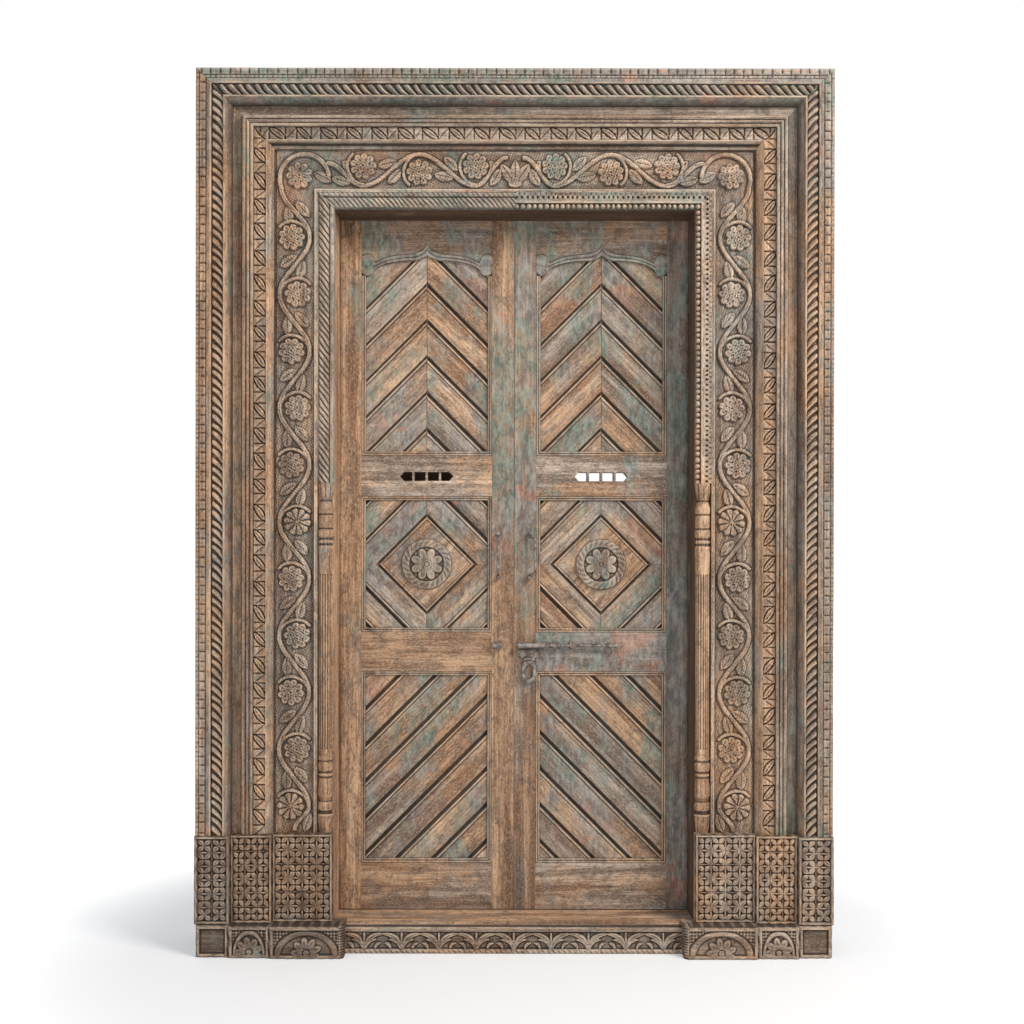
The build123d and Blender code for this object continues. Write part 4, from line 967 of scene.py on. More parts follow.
# Sill frieze: a board planted on the threshold, with a bead along its top, nine stems from which
# leaves arch outward on both sides, and a rope along its lower edge.
low, high = span("threshold_frieze")
frieze_top = face_y - low.y
stem_count = 9
stem_pitch = (high.x - low.x) / stem_count
field_low = 14.0
field_high = high.z - 15.0


def arched_leaf(a, b, start, reach, rise, wide):
    """Height of a leaf that springs from a stem's foot and arches outward on both sides, 0 to 1."""
    inward = (np.abs(a) - start - reach) / reach
    gap = (np.hypot(inward, b / rise) - 1) * min(reach, rise)
    share = np.clip(np.arctan2(b / rise, -inward) / (math.pi / 2), 0, 1)
    half = wide / 2 * (0.35 + 0.65 * np.sin(math.pi * share) ** 0.7)
    inside = (np.abs(gap) < half) & (inward < 0.12) & (b > 0)
    blade = np.sqrt(np.clip(1 - (gap / half) ** 2, 0, 1)) - 0.4 * np.exp(-((gap / 1.3) ** 2))
    return np.where(inside, np.clip(blade, 0.1, 1), 0)


def cut_frieze(x, z):
    bead = frieze_top - 7 + 7 * dome(z - (field_high + high.z) / 2, high.z - field_high)
    strand = share_of(x + 0.8 * z, 15.0)
    rope = frieze_top - 8 + 7 * dome(z - field_low / 2, field_low) * (0.3 + 0.7 * dome(strand - 0.5, 1.0))
    a = (share_of(x - low.x, stem_pitch) - 0.5) * stem_pitch
    b = z - field_low
    tall = field_high - field_low
    raised = 0.8 * dome(a, 7.0) * (b < tall * 0.95)
    longest = stem_pitch / 2 - 6
    leaves = ((3, longest, 0.86, 15), (3, longest * 0.62, 0.54, 12), (32, 15, 0.32, 9))
    for start, reach, rise, wide in leaves:
        raised = np.maximum(raised, arched_leaf(a, b, start, reach, rise * tall, wide))
    field = frieze_top - 10 + 9 * raised
    front = np.where(z > field_high, bead, np.where(z < field_low, rope, field))
    return front + wobble(x, z, 0.5) - 0.5


piece = block("threshold_frieze_carving", low, high, face_y - high.y, cut_frieze, 2.1)
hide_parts("threshold_frieze")
dress(piece, teak("frieze_teak", "level", 0.55, 0.3, darkness=0.04, shift=5.2))

# Leaf framing: stiles and rails pegged at the corners. The stiles are the pivots' carriers; the rails
# lie flush between them. A thin slip behind the left leaf's meeting edge closes the gap between the
# leaves.
leaf_paint = {
    "hinge_stile_left": ("up", 0.2, 0.15, 1.2, 5.0, 0.0),
    "hinge_stile_right": ("up", 0.9, 0.75, 1.0, 1.6, 0.45),
    "meeting_stile_left": ("up", 0.2, 0.95, 1.6, 0.42, 0.22),
    "meeting_stile_right": ("up", 0.4, 0.85, 1.65, 0.7, 0.28),
    "slot_rail_left": ("level", 0.6, 0.3, 1.2, 5.0, 0.0),
    "slot_rail_right": ("level", 0.5, 0.35, 1.2, 5.0, 0.0),
    "lock_rail_left": ("level", 0.25, 0.15, 1.2, 5.0, 0.16),
    "lock_rail_right": ("level", 0.65, 0.9, 0.9, 1.2, 0.12),
    "bottom_rail_left": ("level", 0.45, 0.2, 1.2, 5.0, 0.05),
    "bottom_rail_right": ("level", 0.45, 0.2, 1.2, 5.0, 0.08),
}
for index, (name, (grain, silvering, paint, around, reach, darkness)) in enumerate(leaf_paint.items()):
    finish = teak(f"{name}_teak", grain, silvering, paint, around, reach,
                  darkness=darkness, shift=index * 1.37)
    dress(nodes[name], finish)
slip_fronts = (-24.5, -32.0)


def square_bar(xs, fronts, zs):
    """Points and faces of a plain bar."""
    points = [(x, face_y - front, z) for x in xs for front in fronts for z in zs]
    return points, [[0, 1, 3, 2], [4, 6, 7, 5], [0, 4, 5, 1], [2, 3, 7, 6], [0, 2, 6, 4], [1, 5, 7, 3]]


slip_low, slip_high = span("meeting_stile_left")
slip_xs = (slip_high.x - 1.0, span("meeting_stile_right")[0].x - 0.4)
slip_shape = square_bar(slip_xs, slip_fronts, (slip_low.z + 1, slip_high.z - 1))
slip = solid("meeting_slip", *slip_shape, body="left_leaf", slot="leaf_wood")
# The slip is darkened almost to black: painted shade in the gap between the leaves.
dress(slip, teak("meeting_slip_teak", silvering=0.3, paint=0.0, darkness=0.92, shift=7.7))
dress(nodes["slot_cover_left"], teak("slot_cover_left_teak", "level", 0.3, 0.1, darkness=0.9, shift=6.1))

# Boards of the leaf panels: each teak board is moulded along its upper edge with a bead between two fine
# grooves, and cut to its place round the panel. Battens lie behind the joints, and a bead planted all
# round holds the boards. In the middle of each diamond a framed seat carries the rosette.


def ring_faces(rings, size, closed=False, capped=True):
    """Squares between rings of points that follow each other, and a face over each open end."""
    faces = []
    for ring in range(rings if closed else rings - 1):
        here, there = ring * size, (ring + 1) % rings * size
        for index in range(size):
            following = (index + 1) % size
            faces.append([here + index, here + following, there + following, there + index])
    if capped and not closed:
        faces.append(list(range(size)))
        faces.append([(rings - 1) * size + index for index in range(size)])
    return faces


def sweep(path, outline, closed=False):
    """Points and faces of a moulding run along a path in the leaf's plane, mitred at its corners.

    outline holds (side, front) pairs; side is to the left of the direction of travel."""
    count = len(path)
    points = []
    for index, (x, z) in enumerate(path):
        before = path[index - 1] if index or closed else path[index]
        after = path[(index + 1) % count] if index < count - 1 or closed else path[index]
        first = Vector((x - before[0], z - before[1]))
        second = Vector((after[0] - x, after[1] - z))
        if first.length == 0:
            first = second
        if second.length == 0:
            second = first
        square = Vector((-first.y, first.x)).normalized()
        normal = (square + Vector((-second.y, second.x)).normalized()).normalized()
        spread = 1 / max(normal.dot(square), 0.35)
        for side, front in outline:
            points.append((x + normal.x * side * spread, face_y - front, z + normal.y * side * spread))
    return points, ring_faces(count, len(outline), closed)


class Shapes:
    """Gathers several closed shapes into one piece."""

    def __init__(self):
        self.points, self.faces, self.relief = [], [], []

    def add(self, points, faces, relief=None):
        start = len(self.points)
        self.points.extend(points)
        self.faces.extend([[start + index for index in face] for face in faces])
        self.relief.extend(relief if relief is not None else [0.0] * len(points))

    def finish(self, name, body, slot, crease=38):
        return solid(name, self.points, self.faces, self.relief, None, crease, body, slot)


board_width = 76.5
# The third number marks each point of the edge as hollow (below 0) or ridge (above 0): the grooves get
# painted shade with dirt, the bead painted highlight with wear.
board_edge = [(0, -9, -1), (8.0, -8.5, -1), (9.6, -3, -0.4), (11.2, 0.2, 0.6), (13.4, 0.9, 0.8)]
board_edge += [(15.6, 0.2, 0.5), (16.8, -1.8, -0.8), (18.0, -1.8, -0.7), (19.4, 0, 0.1), (45, 0.4, 0.0)]
board_edge += [(board_width - 1.6, 0, 0.3), (board_width, -1.5, 0.0)]
panel_front = -12.0
panel_back = -40.0
tight_by = 4.0
batten_half = 4.0
rim_outline = [(0, -38), (0, -20.5), (6, -20), (7.5, -13.5), (10, -11.5), (12.5, -13.5), (13.5, -16.5)]
rim_outline += [(15, -14.5), (16, -38)]
# rim_relief gives the seat's rim painted shade in its hollows and painted highlight on its round.
rim_relief = [-1, -1, -1, 0.2, 0.8, 0.2, -0.9, 0, 0]


def board_strip(start, direction, length, up, tight):
    """A long closed prism: its upper edge starts at a point and it widens away from up."""
    narrower = tight_by if tight else 0.0
    ahead = Vector(direction).normalized()
    down = -Vector(up).normalized()
    outline = []
    for across, height, mark in board_edge:
        outline.append((across - (narrower if 0 < across < 20 else 0), height, mark))
    outline += [(across, panel_back - panel_front, 0) for across in (board_width, 0)]
    points, relief = [], []
    for end in (0, length):
        for across, height, mark in outline:
            x = start[0] + ahead.x * end + down.x * across
            z = start[1] + ahead.y * end + down.y * across
            points.append((x, face_y - panel_front - height, z))
            relief.append(mark)
    return points, ring_faces(2, len(outline)), relief


def cut_strip(points, faces, relief, planes):
    """Cut a strip by planes (point, outward normal) in X and Z, and close the cuts."""
    shape = bmesh.new()
    layer = shape.verts.layers.float.new("relief")
    made = []
    for point, mark in zip(points, relief):
        vertex = shape.verts.new(point)
        vertex[layer] = mark
        made.append(vertex)
    for face in faces:
        shape.faces.new([made[index] for index in face])
    for (x, z), (nx, nz) in planes:
        everything = shape.verts[:] + shape.edges[:] + shape.faces[:]
        cut = bmesh.ops.bisect_plane(
            shape, geom=everything, plane_co=(x, 0, z), plane_no=(nx, 0, nz), clear_outer=True
        )
        rim = [item for item in cut["geom_cut"] if isinstance(item, bmesh.types.BMEdge)]
        if rim:
            bmesh.ops.edgeloop_fill(shape, edges=rim)
        if not shape.faces:
            break
    shape.verts.index_update()
    result = (
        [tuple(vertex.co) for vertex in shape.verts],
        [[vertex.index for vertex in face.verts] for face in shape.faces],
        [vertex[layer] for vertex in shape.verts],
    )
    shape.free()
    return result


bead_outline = [(0, -12), (0, -4.5), (1.5, -2.6), (3.6, -2.2), (5.4, -3.6), (6.2, -6.0), (7.0, -6.4)]
bead_outline += [(8.4, -4.6), (10.4, -4.4), (12.2, -6.2), (13, -9), (13, -12)]
# bead_relief gives the bead painted shade in its hollows and painted highlight on its rounds.
bead_relief = [-1, -0.3, 0.5, 0.6, 0.2, -0.8, -0.8, 0.3, 0.6, 0.1, -0.8, -1]
board_tones = {"bare": (0.42, 0.55), "grey": (0.55, 0.64)}
board_finish = {}
for side, sign in both_sides:
    for grain in ("rising", "falling"):
        for tone, (silvering, paint) in board_tones.items():
            board_finish[side, grain, tone] = teak(
                f"boards_{side}_{grain}_{tone}_teak", grain, silvering, paint,
                darkness=0.06 + 0.05 * sign, shift=sign * 1.3 + silvering,
            )


def lay_boards(node, strips, side, with_middle):
    """Cut boards to a panel and join them to one piece, with a bead all round."""
    low, high = span(node)
    x0, x1 = low.x, high.x
    z0, z1 = low.z, high.z
    walls = [((x0, z0), (-1, 0)), ((x1, z0), (1, 0)), ((x0, z0), (0, -1)), ((x0, z1), (0, 1))]
    shapes = Shapes()
    kinds = []
    for start, direction, length, up, extra, grain, tone in strips:
        tight = with_middle and grain == "rising"
        points, faces, relief = cut_strip(*board_strip(start, direction, length, up, tight), walls + extra)
        if faces:
            shapes.add(points, faces, relief)
            kinds.extend([(side, grain, tone)] * len(faces))
    middle_x, middle_z = (x0 + x1) / 2, (z0 + z1) / 2
    battens = []
    if with_middle:
        battens.append(((middle_x - batten_half, middle_x + batten_half), (z0, z1)))
    if node.startswith("diamond"):
        battens.append(((x0, x1), (middle_z - batten_half, middle_z + batten_half)))
    for xs, zs in battens:
        # The battens are marked wholly hollow, so they come out dark: painted shade behind the joints.
        shapes.add(*square_bar(xs, (panel_front - 3, panel_back + 2), zs), [-1.0] * 8)
        kinds.extend([(side, "rising", "grey")] * 6)
    under_rail = node.startswith("chevron")
    bead_top = span(f"top_rail_{side}")[0].z if under_rail else z1
    path = [(x0, bead_top), (x0, z0), (x1, z0), (x1, bead_top)]
    shapes.add(*sweep(path, bead_outline, closed=not under_rail), bead_relief * len(path))
    kinds.extend(["bead"] * (len(shapes.faces) - len(kinds)))
    piece = shapes.finish(f"{node}_laid", f"{side}_leaf", "leaf_wood", crease=50)
    hand = -1 if side == "left" else 1
    finishes = {"bead": teak(f"{node}_bead_teak", "up", 0.5, 0.6, shift=hand + z0 * 0.01), **board_finish}
    slots = {kind: index for index, kind in enumerate(dict.fromkeys(kinds))}
    piece.data.materials.clear()
    for kind in slots:
        piece.data.materials.append(finishes[kind])
    for face, kind in zip(piece.data.polygons, kinds):
        face.material_index = slots[kind]
    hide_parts(node)


root2 = math.sqrt(2)
board_step = board_width * root2
for side, sign in both_sides:
    odd = sign > 0
    low, high = span(f"chevron_boards_{side}")
    middle = (low.x + high.x) / 2
    half = (high.x - low.x) / 2
    strips = []
    apex = high.z + half + board_step * 1.02
    index = 0
    while apex > low.z - board_step:
        for hand in (-1, 1):
            grain = "rising" if hand < 0 else "falling"
            tone = "grey" if (index * 7 + hand + odd * 3) % 5 < 2 else "bare"
            start = (middle - hand * 2, apex + 2)
            extra = [((middle + hand * 0.7, apex), (-hand, 0))]
            strips.append((start, (hand, -1), half * 2.4, (hand, 1), extra, grain, tone))
        apex -= board_step
        index += 1
    lay_boards(f"chevron_boards_{side}", strips, side, True)

    low, high = span(f"diamond_boards_{side}")
    middle_z = (low.z + high.z) / 2
    strips = []
    diagonal = board_step * 1.4
    seat = diagonal
    rank = 0
    while diagonal < half + (high.z - low.z) / 2 + board_step:
        for hand_x in (-1, 1):
            for hand_z in (-1, 1):
                grain = "falling" if hand_x * hand_z > 0 else "rising"
                tone = "grey" if (rank + hand_x + hand_z * 2 + odd) % 4 == 1 else "bare"
                outer = diagonal + board_step
                start = (middle + hand_x * (outer + 20), middle_z - hand_z * 20)
                extra = [
                    ((middle + hand_x * 0.6, 0), (-hand_x, 0)),
                    ((0, middle_z + hand_z * 0.3), (0, -hand_z)),
                ]
                strips.append((start, (-hand_x, hand_z), outer * 2, (hand_x, hand_z), extra, grain, tone))
        diagonal += board_step
        rank += 1
    lay_boards(f"diamond_boards_{side}", strips, side, True)
    corners = [(1, 0), (0, 1), (-1, 0), (0, -1)]
    shapes = Shapes()
    path = [(middle + seat * a, middle_z + seat * b) for a, b in corners]
    shapes.add(*sweep(path, rim_outline, closed=True), rim_relief * 4)
    inner = seat - 14.5 * root2
    points = []
    for front in (-14, -39):
        points += [(middle + inner * a, face_y - front, middle_z + inner * b) for a, b in corners]
    shapes.add(points, ring_faces(2, 4))
    piece = shapes.finish(f"diamond_seat_{side}", f"{side}_leaf", "leaf_wood")
    dress(piece, teak(f"diamond_seat_{side}_teak", "rising", 0.4, 0.35, shift=sign * 4.1))

    low, high = span(f"slant_boards_{side}")
    strips = []
    level = high.z - board_step * 0.1 + 2 * board_step
    outer_x = low.x if sign < 0 else high.x
    grain = "rising" if sign < 0 else "falling"
    index = 0
    while level > low.z - (high.x - low.x) - board_step:
        start = (outer_x + sign * 90, level - 90)
        tone = "grey" if (index * 3 + odd) % 4 == 0 else "bare"
        strips.append((start, (-sign, 1), 1100, (sign, 1), [], grain, tone))
        level -= board_step
        index += 1
    lay_boards(f"slant_boards_{side}", strips, side, False)

# Top rails: a rail with a thin apron below it, cut to a cusped ogee and moulded along the cut with a
# double bead, which ends in a round lobe at each stile.
ogee_band = 19.0
ogee_places = [0, 0.03, 0.08, 0.21, 0.42, 0.58, 0.68, 0.80, 0.84, 0.91, 1.0]
ogee_tops = [0.86, 0.75, 0.66, 0.58, 0.545, 0.50, 0.43, 0.33, 0.46, 0.52, 0.48]


def ogee_height(out):
    """Height of the cut above the lobes, as a share of its drop, from the middle (0) to the stile (1)."""
    cusp = 0.41 + 0.14 * np.clip(1 - out / 0.21, 0, 1) ** 2
    swell = 0.08 + 0.33 * np.sqrt(np.clip(1 - ((out - 0.21) / 0.61) ** 2, 0, 1))
    lobe = 0.12 - 0.12 * np.sqrt(np.clip(1 - (np.abs(out - 0.91) / 0.09) ** 2, 0, 1))
    return np.where(out < 0.21, cusp, np.where(out < 0.82, swell, lobe))


for side, sign in both_sides:
    low, high = span(f"top_rail_{side}")
    apron_top = span(f"chevron_boards_{side}")[1].z
    middle = (low.x + high.x) / 2
    half = (high.x - low.x) / 2
    drop = apron_top - low.z
    across = np.linspace(low.x, high.x, 121)
    out = np.abs(across - middle) / half
    edge = low.z + drop * ogee_height(out)
    band_top = low.z + drop * np.interp(out, ogee_places, ogee_tops)
    spread = (band_top - edge) / ogee_band
    steps = np.array([0, 0.6, 2.5, 5, 7, 8.4, 10, 11.5, 14, 16.5, ogee_band, ogee_band + 1.2])
    band_z = edge + steps[:, None] * spread
    share = np.linspace(0.08, 1, 9)[:, None]
    apron_z = np.concatenate([band_z, band_z[-1] + (apron_top - band_z[-1]) * share])
    apron_x = np.broadcast_to(across, apron_z.shape)
    profile = np.interp(steps, [0, 0.6, 4, 8.4, 9.4, 12, 16, ogee_band, ogee_band + 1.2],
                        [-5, -2.0, -0.2, -1.6, -4.2, -0.8, -0.4, -1.0, -3.6])
    profile = profile[:, None] * np.clip(1.25 / spread, 0.15, 1)
    front = np.concatenate([profile, np.full((9, len(across)), -3.6)]) + wobble(apron_x, apron_z, 0.4) - 0.3
    shapes = Shapes()
    points, faces, relief = carved_shape(apron_x, apron_z, np.minimum(front, -0.2), -11.8)[:3]
    shapes.add(points.tolist(), faces, relief.tolist())
    rail_x, rail_z = np.meshgrid(across[::3], np.linspace(apron_top, high.z, 12))
    front = -1.6 + wobble(rail_x, rail_z, 0.6)
    points, faces, relief = carved_shape(rail_x, rail_z, front, face_y - high.y)[:3]
    shapes.add(points.tolist(), faces, relief.tolist())
    piece = shapes.finish(f"top_rail_{side}_moulded", f"{side}_leaf", "leaf_wood")
    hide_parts(f"top_rail_{side}")
    dress(piece, teak(f"top_rail_{side}_teak", "level", 0.5, 0.5, darkness=0.22, shift=sign * 3.7))
    band_teak = teak(f"ogee_band_{side}_teak", "level", 0.8, 0.95, darkness=0.26, shift=sign * 2.3)
    piece.data.materials.append(band_teak)
    in_band = (len(steps) - 1) * (len(across) - 1)
    for face in piece.data.polygons[:in_band]:
        face.material_index = 1

# Rosettes: a turned and carved boss, two rings of petals inside a wreath of slanting leaves, fixed on
# the diamond's seat.
petal_count = 8
wreath_count = 24
for side, sign in both_sides:
    low, high = span(f"rosette_{side}")
    centre_x = (low.x + high.x) / 2
    centre_z = (low.z + high.z) / 2
    reach = (high.z - low.z) / 2
    rings = np.linspace(0.5, reach, 34)
    angle = np.linspace(0, 2 * math.pi, 120, endpoint=False)
    r, a = np.meshgrid(rings, angle, indexing="ij")
    strand = share_of(a / (2 * math.pi) * wreath_count + (r - reach * 0.85) / 21, 1.0)
    ring = 2 + 7.5 * dome(r - reach * 0.84, reach * 0.31) ** 0.6 * (0.4 + 0.6 * dome(strand - 0.5, 1.0))
    outer = 2 + 8 * petals(r, a, reach * 0.14, reach * 0.67, petal_count)
    inner = 3 + 8 * petals(r, a, reach * 0.06, reach * 0.34, petal_count, 0.5)
    height = np.maximum(outer, np.where(r < reach * 0.34, inner, 0))
    height = np.where(r > reach * 0.68, ring, height)
    height = np.where(r < reach * 0.08, 11, height)
    x = centre_x + r * np.cos(a)
    z = centre_z + r * np.sin(a)
    y = np.maximum(high.y - 0.5 - height, low.y)
    points = np.stack([x, y, z], axis=2).reshape(-1, 3).tolist()
    points += [(x[-1, column], high.y, z[-1, column]) for column in range(len(angle))]
    faces = ring_faces(len(rings) + 1, len(angle))
    relief = np.clip((height - blurred(height)) / relief_depth, -1, 1).ravel()
    depth = np.clip(1 - height / 11, 0, 1).ravel()
    riding = {"body": f"{side}_leaf", "slot": "leaf_wood"}
    piece = solid(f"rosette_{side}_carved", points, faces, relief, depth, **riding)
    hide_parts(f"rosette_{side}")
    dress(piece, teak(f"rosette_{side}_teak", "up", 0.7, 0.5, darkness=0.1, shift=sign * 2.9))


# Ironwork: forged and filed by hand, driven or nailed into the leaves, brown with old rust and bright
# only where hands and the bolt rub it. The bolt slides in a tube and a staple on the right leaf, and
# shoots into a staple on the left one.
rod_radius = 4.9
rod_front = 17.0
rod_z = 874.0
bore = 5.4
strap_radius = 10.4
saddles = ((16, 34), (71, 88))
saddle_high = 10.3
saddle_front = 3.2
rear_staple = 166
steps_round = 28


def make_forged_iron():
    """Hammered iron: dark scale, rust in patches, and rubbed metal on what stands out."""
    takes = {"Place": "Vector", "Relief": 0.0, "Rust": 0.5}
    tree, given, result = effect("forged_iron", takes, ("Color", "Roughness", "Metallic", "Height"))
    place = given["Place"]
    hammer = noise(tree, place, 70.0, 4, 0.6)
    speckle = noise(tree, place, 420.0, 3, 0.6)
    patch = noise(tree, place, 38.0, 5, 0.65)
    scale = blend_colours(tree, ramp(tree, hammer, 0.35, 0.65), colour(92, 84, 80), colour(160, 152, 144))
    rust = blend_colours(tree, ramp(tree, speckle, 0.35, 0.65), colour(88, 56, 38), colour(140, 96, 66))
    rusty = ramp(tree, reckon(tree, "MULTIPLY_ADD", given["Rust"], 0.3, patch), 0.64, 0.80)
    shade = blend_colours(tree, rusty, scale, rust)
    rubbed = ramp(tree, given["Relief"], 0.1, 0.8, 0.0, 0.7)
    shade = blend_colours(tree, rubbed, shade, colour(176, 166, 156))
    metal = reckon(tree, "SUBTRACT", 0.75, reckon(tree, "MULTIPLY", rusty, 0.6))
    rough = ramp(tree, hammer, 0.3, 0.7, 0.48, 0.66)
    height = reckon(tree, "MULTIPLY_ADD", speckle, 0.3, hammer)
    connect(tree, result, {"Color": shade, "Roughness": rough, "Metallic": metal, "Height": height})
    return tree


forged_iron = make_forged_iron()


def iron(name, rust):
    material, tree, shader = new_finish(name)
    place = put(tree, "TexCoord").outputs["Object"]
    relief = put(tree, "Attribute", attribute_name="relief").outputs["Fac"]
    made = put(tree, "Group", {"Place": place, "Relief": relief, "Rust": rust}, node_tree=forged_iron).outputs
    bump = put(tree, "Bump", {"Strength": 0.5, "Distance": 0.0012, "Height": made["Height"]})
    finish = {"Base Color": made["Color"], "Roughness": made["Roughness"], "Metallic": made["Metallic"]}
    connect(tree, shader.inputs, finish | {"Normal": bump.outputs[0]})
    return material


def turned(outline, centre, upright=False, bored=False):
    """A shape turned round an axis along X or, upright, along Z; outline has (place, radius) pairs."""
    middle_x, middle_front, middle_z = centre
    points = []
    for along, radius in outline:
        for step in range(steps_round):
            angle = 2 * math.pi * step / steps_round
            a, b = radius * math.cos(angle), radius * math.sin(angle)
            y = face_y - middle_front - a
            points.append((middle_x + b, y, along) if upright else (along, y, middle_z + b))
    return points, ring_faces(len(outline), steps_round, closed=bored)


def forged_bar(path, radii, across, sides=14):
    """A round bar bent along a path of (x, front, z), which lies square to one direction across."""
    points = []
    across = Vector(across)
    for index, place in enumerate(path):
        ahead = Vector(path[min(index + 1, len(path) - 1)]) - Vector(path[max(index - 1, 0)])
        outward = ahead.cross(across).normalized()
        for step in range(sides):
            angle = 2 * math.pi * step / sides
            point = Vector(place) + radii[index] * (math.cos(angle) * outward + math.sin(angle) * across)
            points.append((point.x, face_y - point.y, point.z))
    return points, ring_faces(len(path), sides)


def staple_strap(x0, x1):
    """A flat strap bent over the rod and driven into the wood, seen as an arch along X."""
    bend = [math.pi * step / 14 for step in range(15)]
    arch = {}
    for radius in (strap_radius, bore):
        arch[radius] = [(radius, 0.0)]
        arch[radius] += [(radius * math.cos(t), rod_front + radius * math.sin(t)) for t in bend]
        arch[radius].append((-radius, 0.0))
    outside = arch[strap_radius]
    loop = outside + arch[bore][::-1]
    size = len(loop)
    places = [(x0, 0.6), (x0 + 1.5, 0), (x1 - 1.5, 0), (x1, 0.6)]
    points = []
    for x, worn in places:
        for index, (side, height) in enumerate(loop):
            pull = worn if index < len(outside) and height > 0 else 0
            points.append((x, face_y - max(height - pull, 0), rod_z + side))
    faces = ring_faces(len(places), size, capped=False)
    for start in (0, (len(places) - 1) * size):
        for index in range(len(outside) - 1):
            inner = start + size - 1 - index
            faces.append([start + index, start + index + 1, inner - 1, inner])
    return points, faces


def nail_head(x, z, front, size):
    """A domed nail with its rim a little sunk."""
    outline = [(size, -0.4), (size, 0.5), (size * 0.8, 1.2), (size * 0.45, 1.7), (size * 0.1, 1.9)]
    points = []
    for radius, height in outline:
        for step in range(12):
            angle = math.pi * step / 6
            across, up = radius * math.cos(angle), radius * math.sin(angle)
            points.append((x + across, face_y - front - height, z + up))
    return points, ring_faces(len(outline), 12)


def flat_plate(corners, back, front, bevel):
    """A plate between two fronts, with its front edge hammered round towards its middle."""
    middle = Vector((sum(x for x, z in corners), sum(z for x, z in corners))) / len(corners)
    levels = [(back, 0.0), (front - bevel, 0.0), (front - bevel * 0.3, bevel * 0.4), (front, bevel)]
    points = []
    for height, inset in levels:
        for x, z in corners:
            inward = (middle - Vector((x, z))).normalized() * inset
            points.append((x + inward.x, face_y - height, z + inward.y))
    return points, ring_faces(len(levels), len(corners))


def oblong(x0, x1, z0, z1):
    return [(x0, z0), (x1, z0), (x1, z1), (x0, z1)]


def forge(node, parts, body, rust):
    """Join the shapes of one forged piece, on the body that carries it."""
    shapes = Shapes()
    for points, faces in parts:
        shapes.add(points, faces)
    piece = shapes.finish(f"{node}_forged", body, "iron")
    dress(piece, iron(f"{node}_forged_iron", rust))
    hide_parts(node)


low, high = span("bolt_rod")
rod_axis = (0, rod_front, rod_z)
knob = [(32, rod_radius), (30, 6.4), (28, 7.6), (24, 7.7), (21, 5.8), (19, 5.8), (15, 7.5), (9, 7.7)]
knob += [(5, 6.2), (3, 5.6), (1, 5.2), (0, 3.4)]
shank = [(low.x, rod_radius - 2.2), (low.x + 1.5, rod_radius - 0.8), (low.x + 4, rod_radius)]
shank += [(high.x - back, radius) for back, radius in knob]
spur_outline = [(21, rod_z), (9, rod_z), (11.5, low.z + 3), (15, low.z), (18.5, low.z + 3)]
spur = flat_plate([(high.x - back, z) for back, z in spur_outline], rod_front - 3, rod_front + 2.6, 1.2)
forge("bolt_rod", [turned(shank, rod_axis), spur], "bolt", 0.15)

barrel = [(13, bore), (13, 8.6), (14, 10.4), (19, 10.4), (20, 9.0), (23, 9.0), (24, 9.8), (82, 9.8)]
barrel += [(83, 10.4), (88, 10.4), (90, 8.8), (93, 7.0), (96, 7.4), (97, 10.2), (102, 10.2)]
barrel += [(103, 7.6), (112, 6.9), (124, 7.2), (130, 8.6), (131, 10.3), (135, 10.3), (136, 8.6), (136, bore)]
guides = [turned(barrel, rod_axis, bored=True)]
for x0, x1 in saddles:
    corners = oblong(x0, x1, rod_z - saddle_high, rod_z + saddle_high)
    guides.append(flat_plate(corners, 0, saddle_front, 1.0))
    guides.append(flat_plate(oblong(x0 + 3, x1 - 3, rod_z - 6.5, rod_z + 6.5), saddle_front - 0.1, 8.6, 0.5))
guides.append(staple_strap(rear_staple, span("bolt_guides")[1].x))
forge("bolt_guides", guides, "right_leaf", 0.4)
low, high = span("bolt_keeper")
forge("bolt_keeper", [staple_strap(low.x, high.x)], "left_leaf", 0.4)

# Hasp: an iron plate nailed to the right leaf, with two knuckles and a pin, and a teardrop link with a
# slot that hangs on the pin.
pin_z = 832.0
pin_front = 9.0
pin_radius = 2.4
pin_half = 17.5
plate_low = 835.2
plate_front = 3.0
corner_cut = 3.5
nail_inset = 8
nail_size = 3.4
knuckle_start = 6.7
knuckle_long = 9.2
link_steps = 48
eye_half = 5.8
low, high = span("hasp_plate")
hasp_x = (low.x + high.x) / 2
pin_axis = (0, pin_front, pin_z)
corners = []
for x, z in ((low.x, high.z), (low.x, plate_low), (high.x, plate_low), (high.x, high.z)):
    inward_x = corner_cut if x == low.x else -corner_cut
    inward_z = corner_cut if z == plate_low else -corner_cut
    pair = [(x, z + inward_z), (x + inward_x, z)]
    corners.extend(pair if (x == low.x) == (z == plate_low) else pair[::-1])
parts = [flat_plate(corners, 0, plate_front, 0.9)]
for x in (low.x + nail_inset, high.x - nail_inset):
    for z in (plate_low + nail_inset - 1, high.z - nail_inset + 1):
        parts.append(nail_head(x, z, plate_front, nail_size))
for hand in (-1, 1):
    start = hasp_x + hand * knuckle_start
    end = start + hand * knuckle_long
    knuckle = [(start, 2.2), (start, 4.8), (start + hand * 0.8, 5.4)]
    knuckle += [(end - hand * 0.8, 5.4), (end, 4.8), (end, 2.2)]
    parts.append(turned(knuckle, pin_axis))
    parts.append(flat_plate(oblong(start, end, pin_z - 3, plate_low + 2), 0.2, 4.5, 0.5))
pin_end = [(pin_half, 1.5), (pin_half - 1.5, 3.2), (pin_half - 3, pin_radius)]
pin = [(hasp_x - out, radius) for out, radius in pin_end]
pin += [(hasp_x + out, radius) for out, radius in reversed(pin_end)]
parts.append(turned(pin, pin_axis))
forge("hasp_plate", parts, "right_leaf", 0.45)

